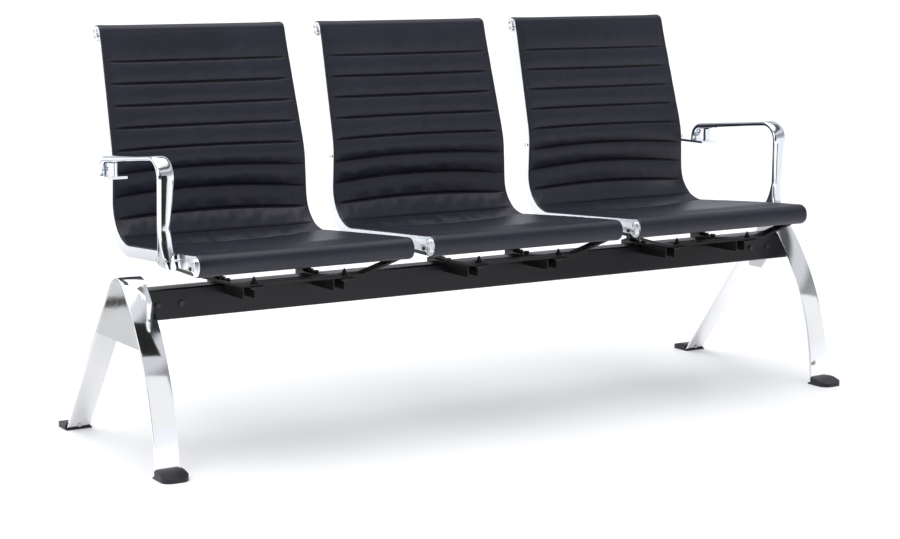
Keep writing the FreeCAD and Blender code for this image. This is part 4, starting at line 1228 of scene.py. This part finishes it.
@dataclass
class Studio:
    """The pale floor, the soft light and the camera."""

    floor_half: float = 150.0
    floor_tone: Point = (0.86, 0.86, 0.865)
    floor_roughness: float = 0.42
    floor_specular: float = 0.25
    floor_glow: float = 0.22
    card_tint: Point = (0.97, 0.99, 1.0)
    surround_tint: Point = (0.96, 0.99, 1.04)
    dark_towards: Point = (-0.515, -0.843, 0.155)
    dark_from: tuple[float, float] = (0.80, 0.93)
    dark_level: float = 0.05
    sun_strength: float = 1.95
    sun_angle: float = 75.0
    sun_turn: Point = (-8.0, -6.0, 0.0)
    box_power: float = 36.0
    box_size: float = 2.2
    box_at: Point = (-3.2, -2.2, 2.6)
    box_target: Point = (0.0, 0.0, 0.5)
    lens: float = 80.0223
    sensor: float = 36.0
    clip: tuple[float, float] = (0.1, 500.0)
    camera_at: Point = (-2.528695, -4.066767, 1.084188)
    camera_turn: Point = (90.0 - 8.9223, 0.0, -31.4447)

    def build(self) -> None:
        """Builds the studio."""
        self.add_floor()
        self.add_world()
        self.add_lights()
        self.add_cards()
        self.add_camera()
        bpy.context.scene.view_settings.view_transform = "Standard"

    def add_floor(self) -> None:
        """A level pale floor that reaches past the picture's upper edge."""
        side = np.linspace(-self.floor_half, self.floor_half, 3)
        x, y = np.meshgrid(side, side, indexing="ij")
        points = np.stack([x, y, np.zeros_like(x)], axis=-1).reshape(-1, 3)
        index = np.arange(9).reshape(3, 3)
        quads = np.stack([index[:-1, :-1], index[1:, :-1], index[1:, 1:], index[:-1, 1:]], axis=-1)
        mesh = bpy.data.meshes.new("floor")
        mesh.from_pydata(points.tolist(), [], quads.reshape(-1, 4).tolist())
        values = {"Base Color": (*self.floor_tone, 1.0), "Roughness": self.floor_roughness,
                  "Specular IOR Level": self.floor_specular, "Emission Color": (1.0, 1.0, 1.0, 1.0),
                  "Emission Strength": self.floor_glow}
        material, _ = new_material("pale_floor", values)
        mesh.materials.append(material)
        floor = place("floor", mesh)

    def add_cards(self) -> None:
        """Flat cards that only show in reflections: bright ones for the straps, dark ones for their lines."""
        values = {"Base Color": (0.0, 0.0, 0.0, 1.0), "Specular IOR Level": 0.0,
                  "Emission Color": (*self.card_tint, 1.0)}
        for card in CARDS:
            mesh = bpy.data.meshes.new(card.name)
            points = [(x, y, z) for x0, x1, y, z in (card.near, card.far) for x in (x0, x1)]
            mesh.from_pydata(points, [], [(0, 1, 3, 2)])
            material, _ = new_material(card.name, {**values, "Emission Strength": card.level})
            mesh.materials.append(material)
            thing = place(card.name, mesh)
            thing.visible_camera = thing.visible_diffuse = thing.visible_shadow = False

    def add_world(self) -> None:
        """A surround that is bright at the horizon and darker above it, with a dark patch behind the picture.

        The level is a ramp over the height of the direction, times one minus a soft disc about one direction.
        """
        world = bpy.data.worlds.new("studio")
        bpy.context.scene.world = world
        world.use_nodes = True
        tree = world.node_tree
        background = tree.nodes["Background"].inputs
        direction = add_node(tree, "ShaderNodeTexCoord", {}).outputs["Generated"]
        up = add_node(tree, "ShaderNodeSeparateXYZ", {0: direction}).outputs["Z"]
        ramp = add_node(tree, "ShaderNodeValToRGB", {"Fac": calc(tree, "MULTIPLY_ADD", up, 0.5, 0.5)})
        stops = ramp.color_ramp.elements
        while len(stops) < len(SURROUND):
            stops.new(0.5)
        for stop, (where, level) in zip(stops, SURROUND):
            stop.position = where
            stop.color = (*(level * share for share in self.surround_tint), 1.0)
        tree.links.new(ramp.outputs["Color"], background["Color"])
        sides = {0: direction, 1: self.dark_towards}
        along = add_node(tree, "ShaderNodeVectorMath", sides, operation="DOT_PRODUCT").outputs["Value"]
        start, full = self.dark_from
        given = {"Value": along, "From Min": start, "From Max": full, "To Min": 1.0,
                 "To Max": self.dark_level}
        patch = add_node(tree, "ShaderNodeMapRange", given, interpolation_type="SMOOTHSTEP")
        tree.links.new(patch.outputs[0], background["Strength"])

    def add_lights(self) -> None:
        """A wide soft light overhead and a soft box at the left front, turned towards the bench."""
        sun = bpy.data.lights.new("overhead", "SUN")
        sun.energy, sun.angle = self.sun_strength, math.radians(self.sun_angle)
        place("overhead", sun, turn=tuple(np.radians(self.sun_turn)))
        box = bpy.data.lights.new("left_box", "AREA")
        box.energy, box.size = self.box_power, self.box_size
        x, y, z = np.subtract(self.box_target, self.box_at)
        turn = (math.atan2(math.hypot(x, y), -z), 0.0, math.atan2(y, x) - math.pi / 2)
        place("left_box", box, self.box_at, turn)

    def add_camera(self) -> None:
        """The camera at the photograph's place."""
        camera = bpy.data.cameras.new("camera")
        camera.lens, camera.sensor_width = self.lens, self.sensor
        camera.clip_start, camera.clip_end = self.clip
        turn = tuple(np.radians(self.camera_turn))
        bpy.context.scene.camera = place("camera", camera, self.camera_at, turn)


def main() -> None:
    """Builds the bench and the studio, and logs how many solids it finished and each piece's faces."""
    logging.basicConfig(level=logging.INFO, format="%(message)s")
    bench = Bench(Effects())
    log.info("finished solids: %d", bench.dress_solids())
    for piece in bench.add_swept() + bench.add_slings():
        log.info("piece %s: %d faces", piece.name, len(piece.data.polygons))
    Studio().build()


if __name__ == "__main__":
    main()
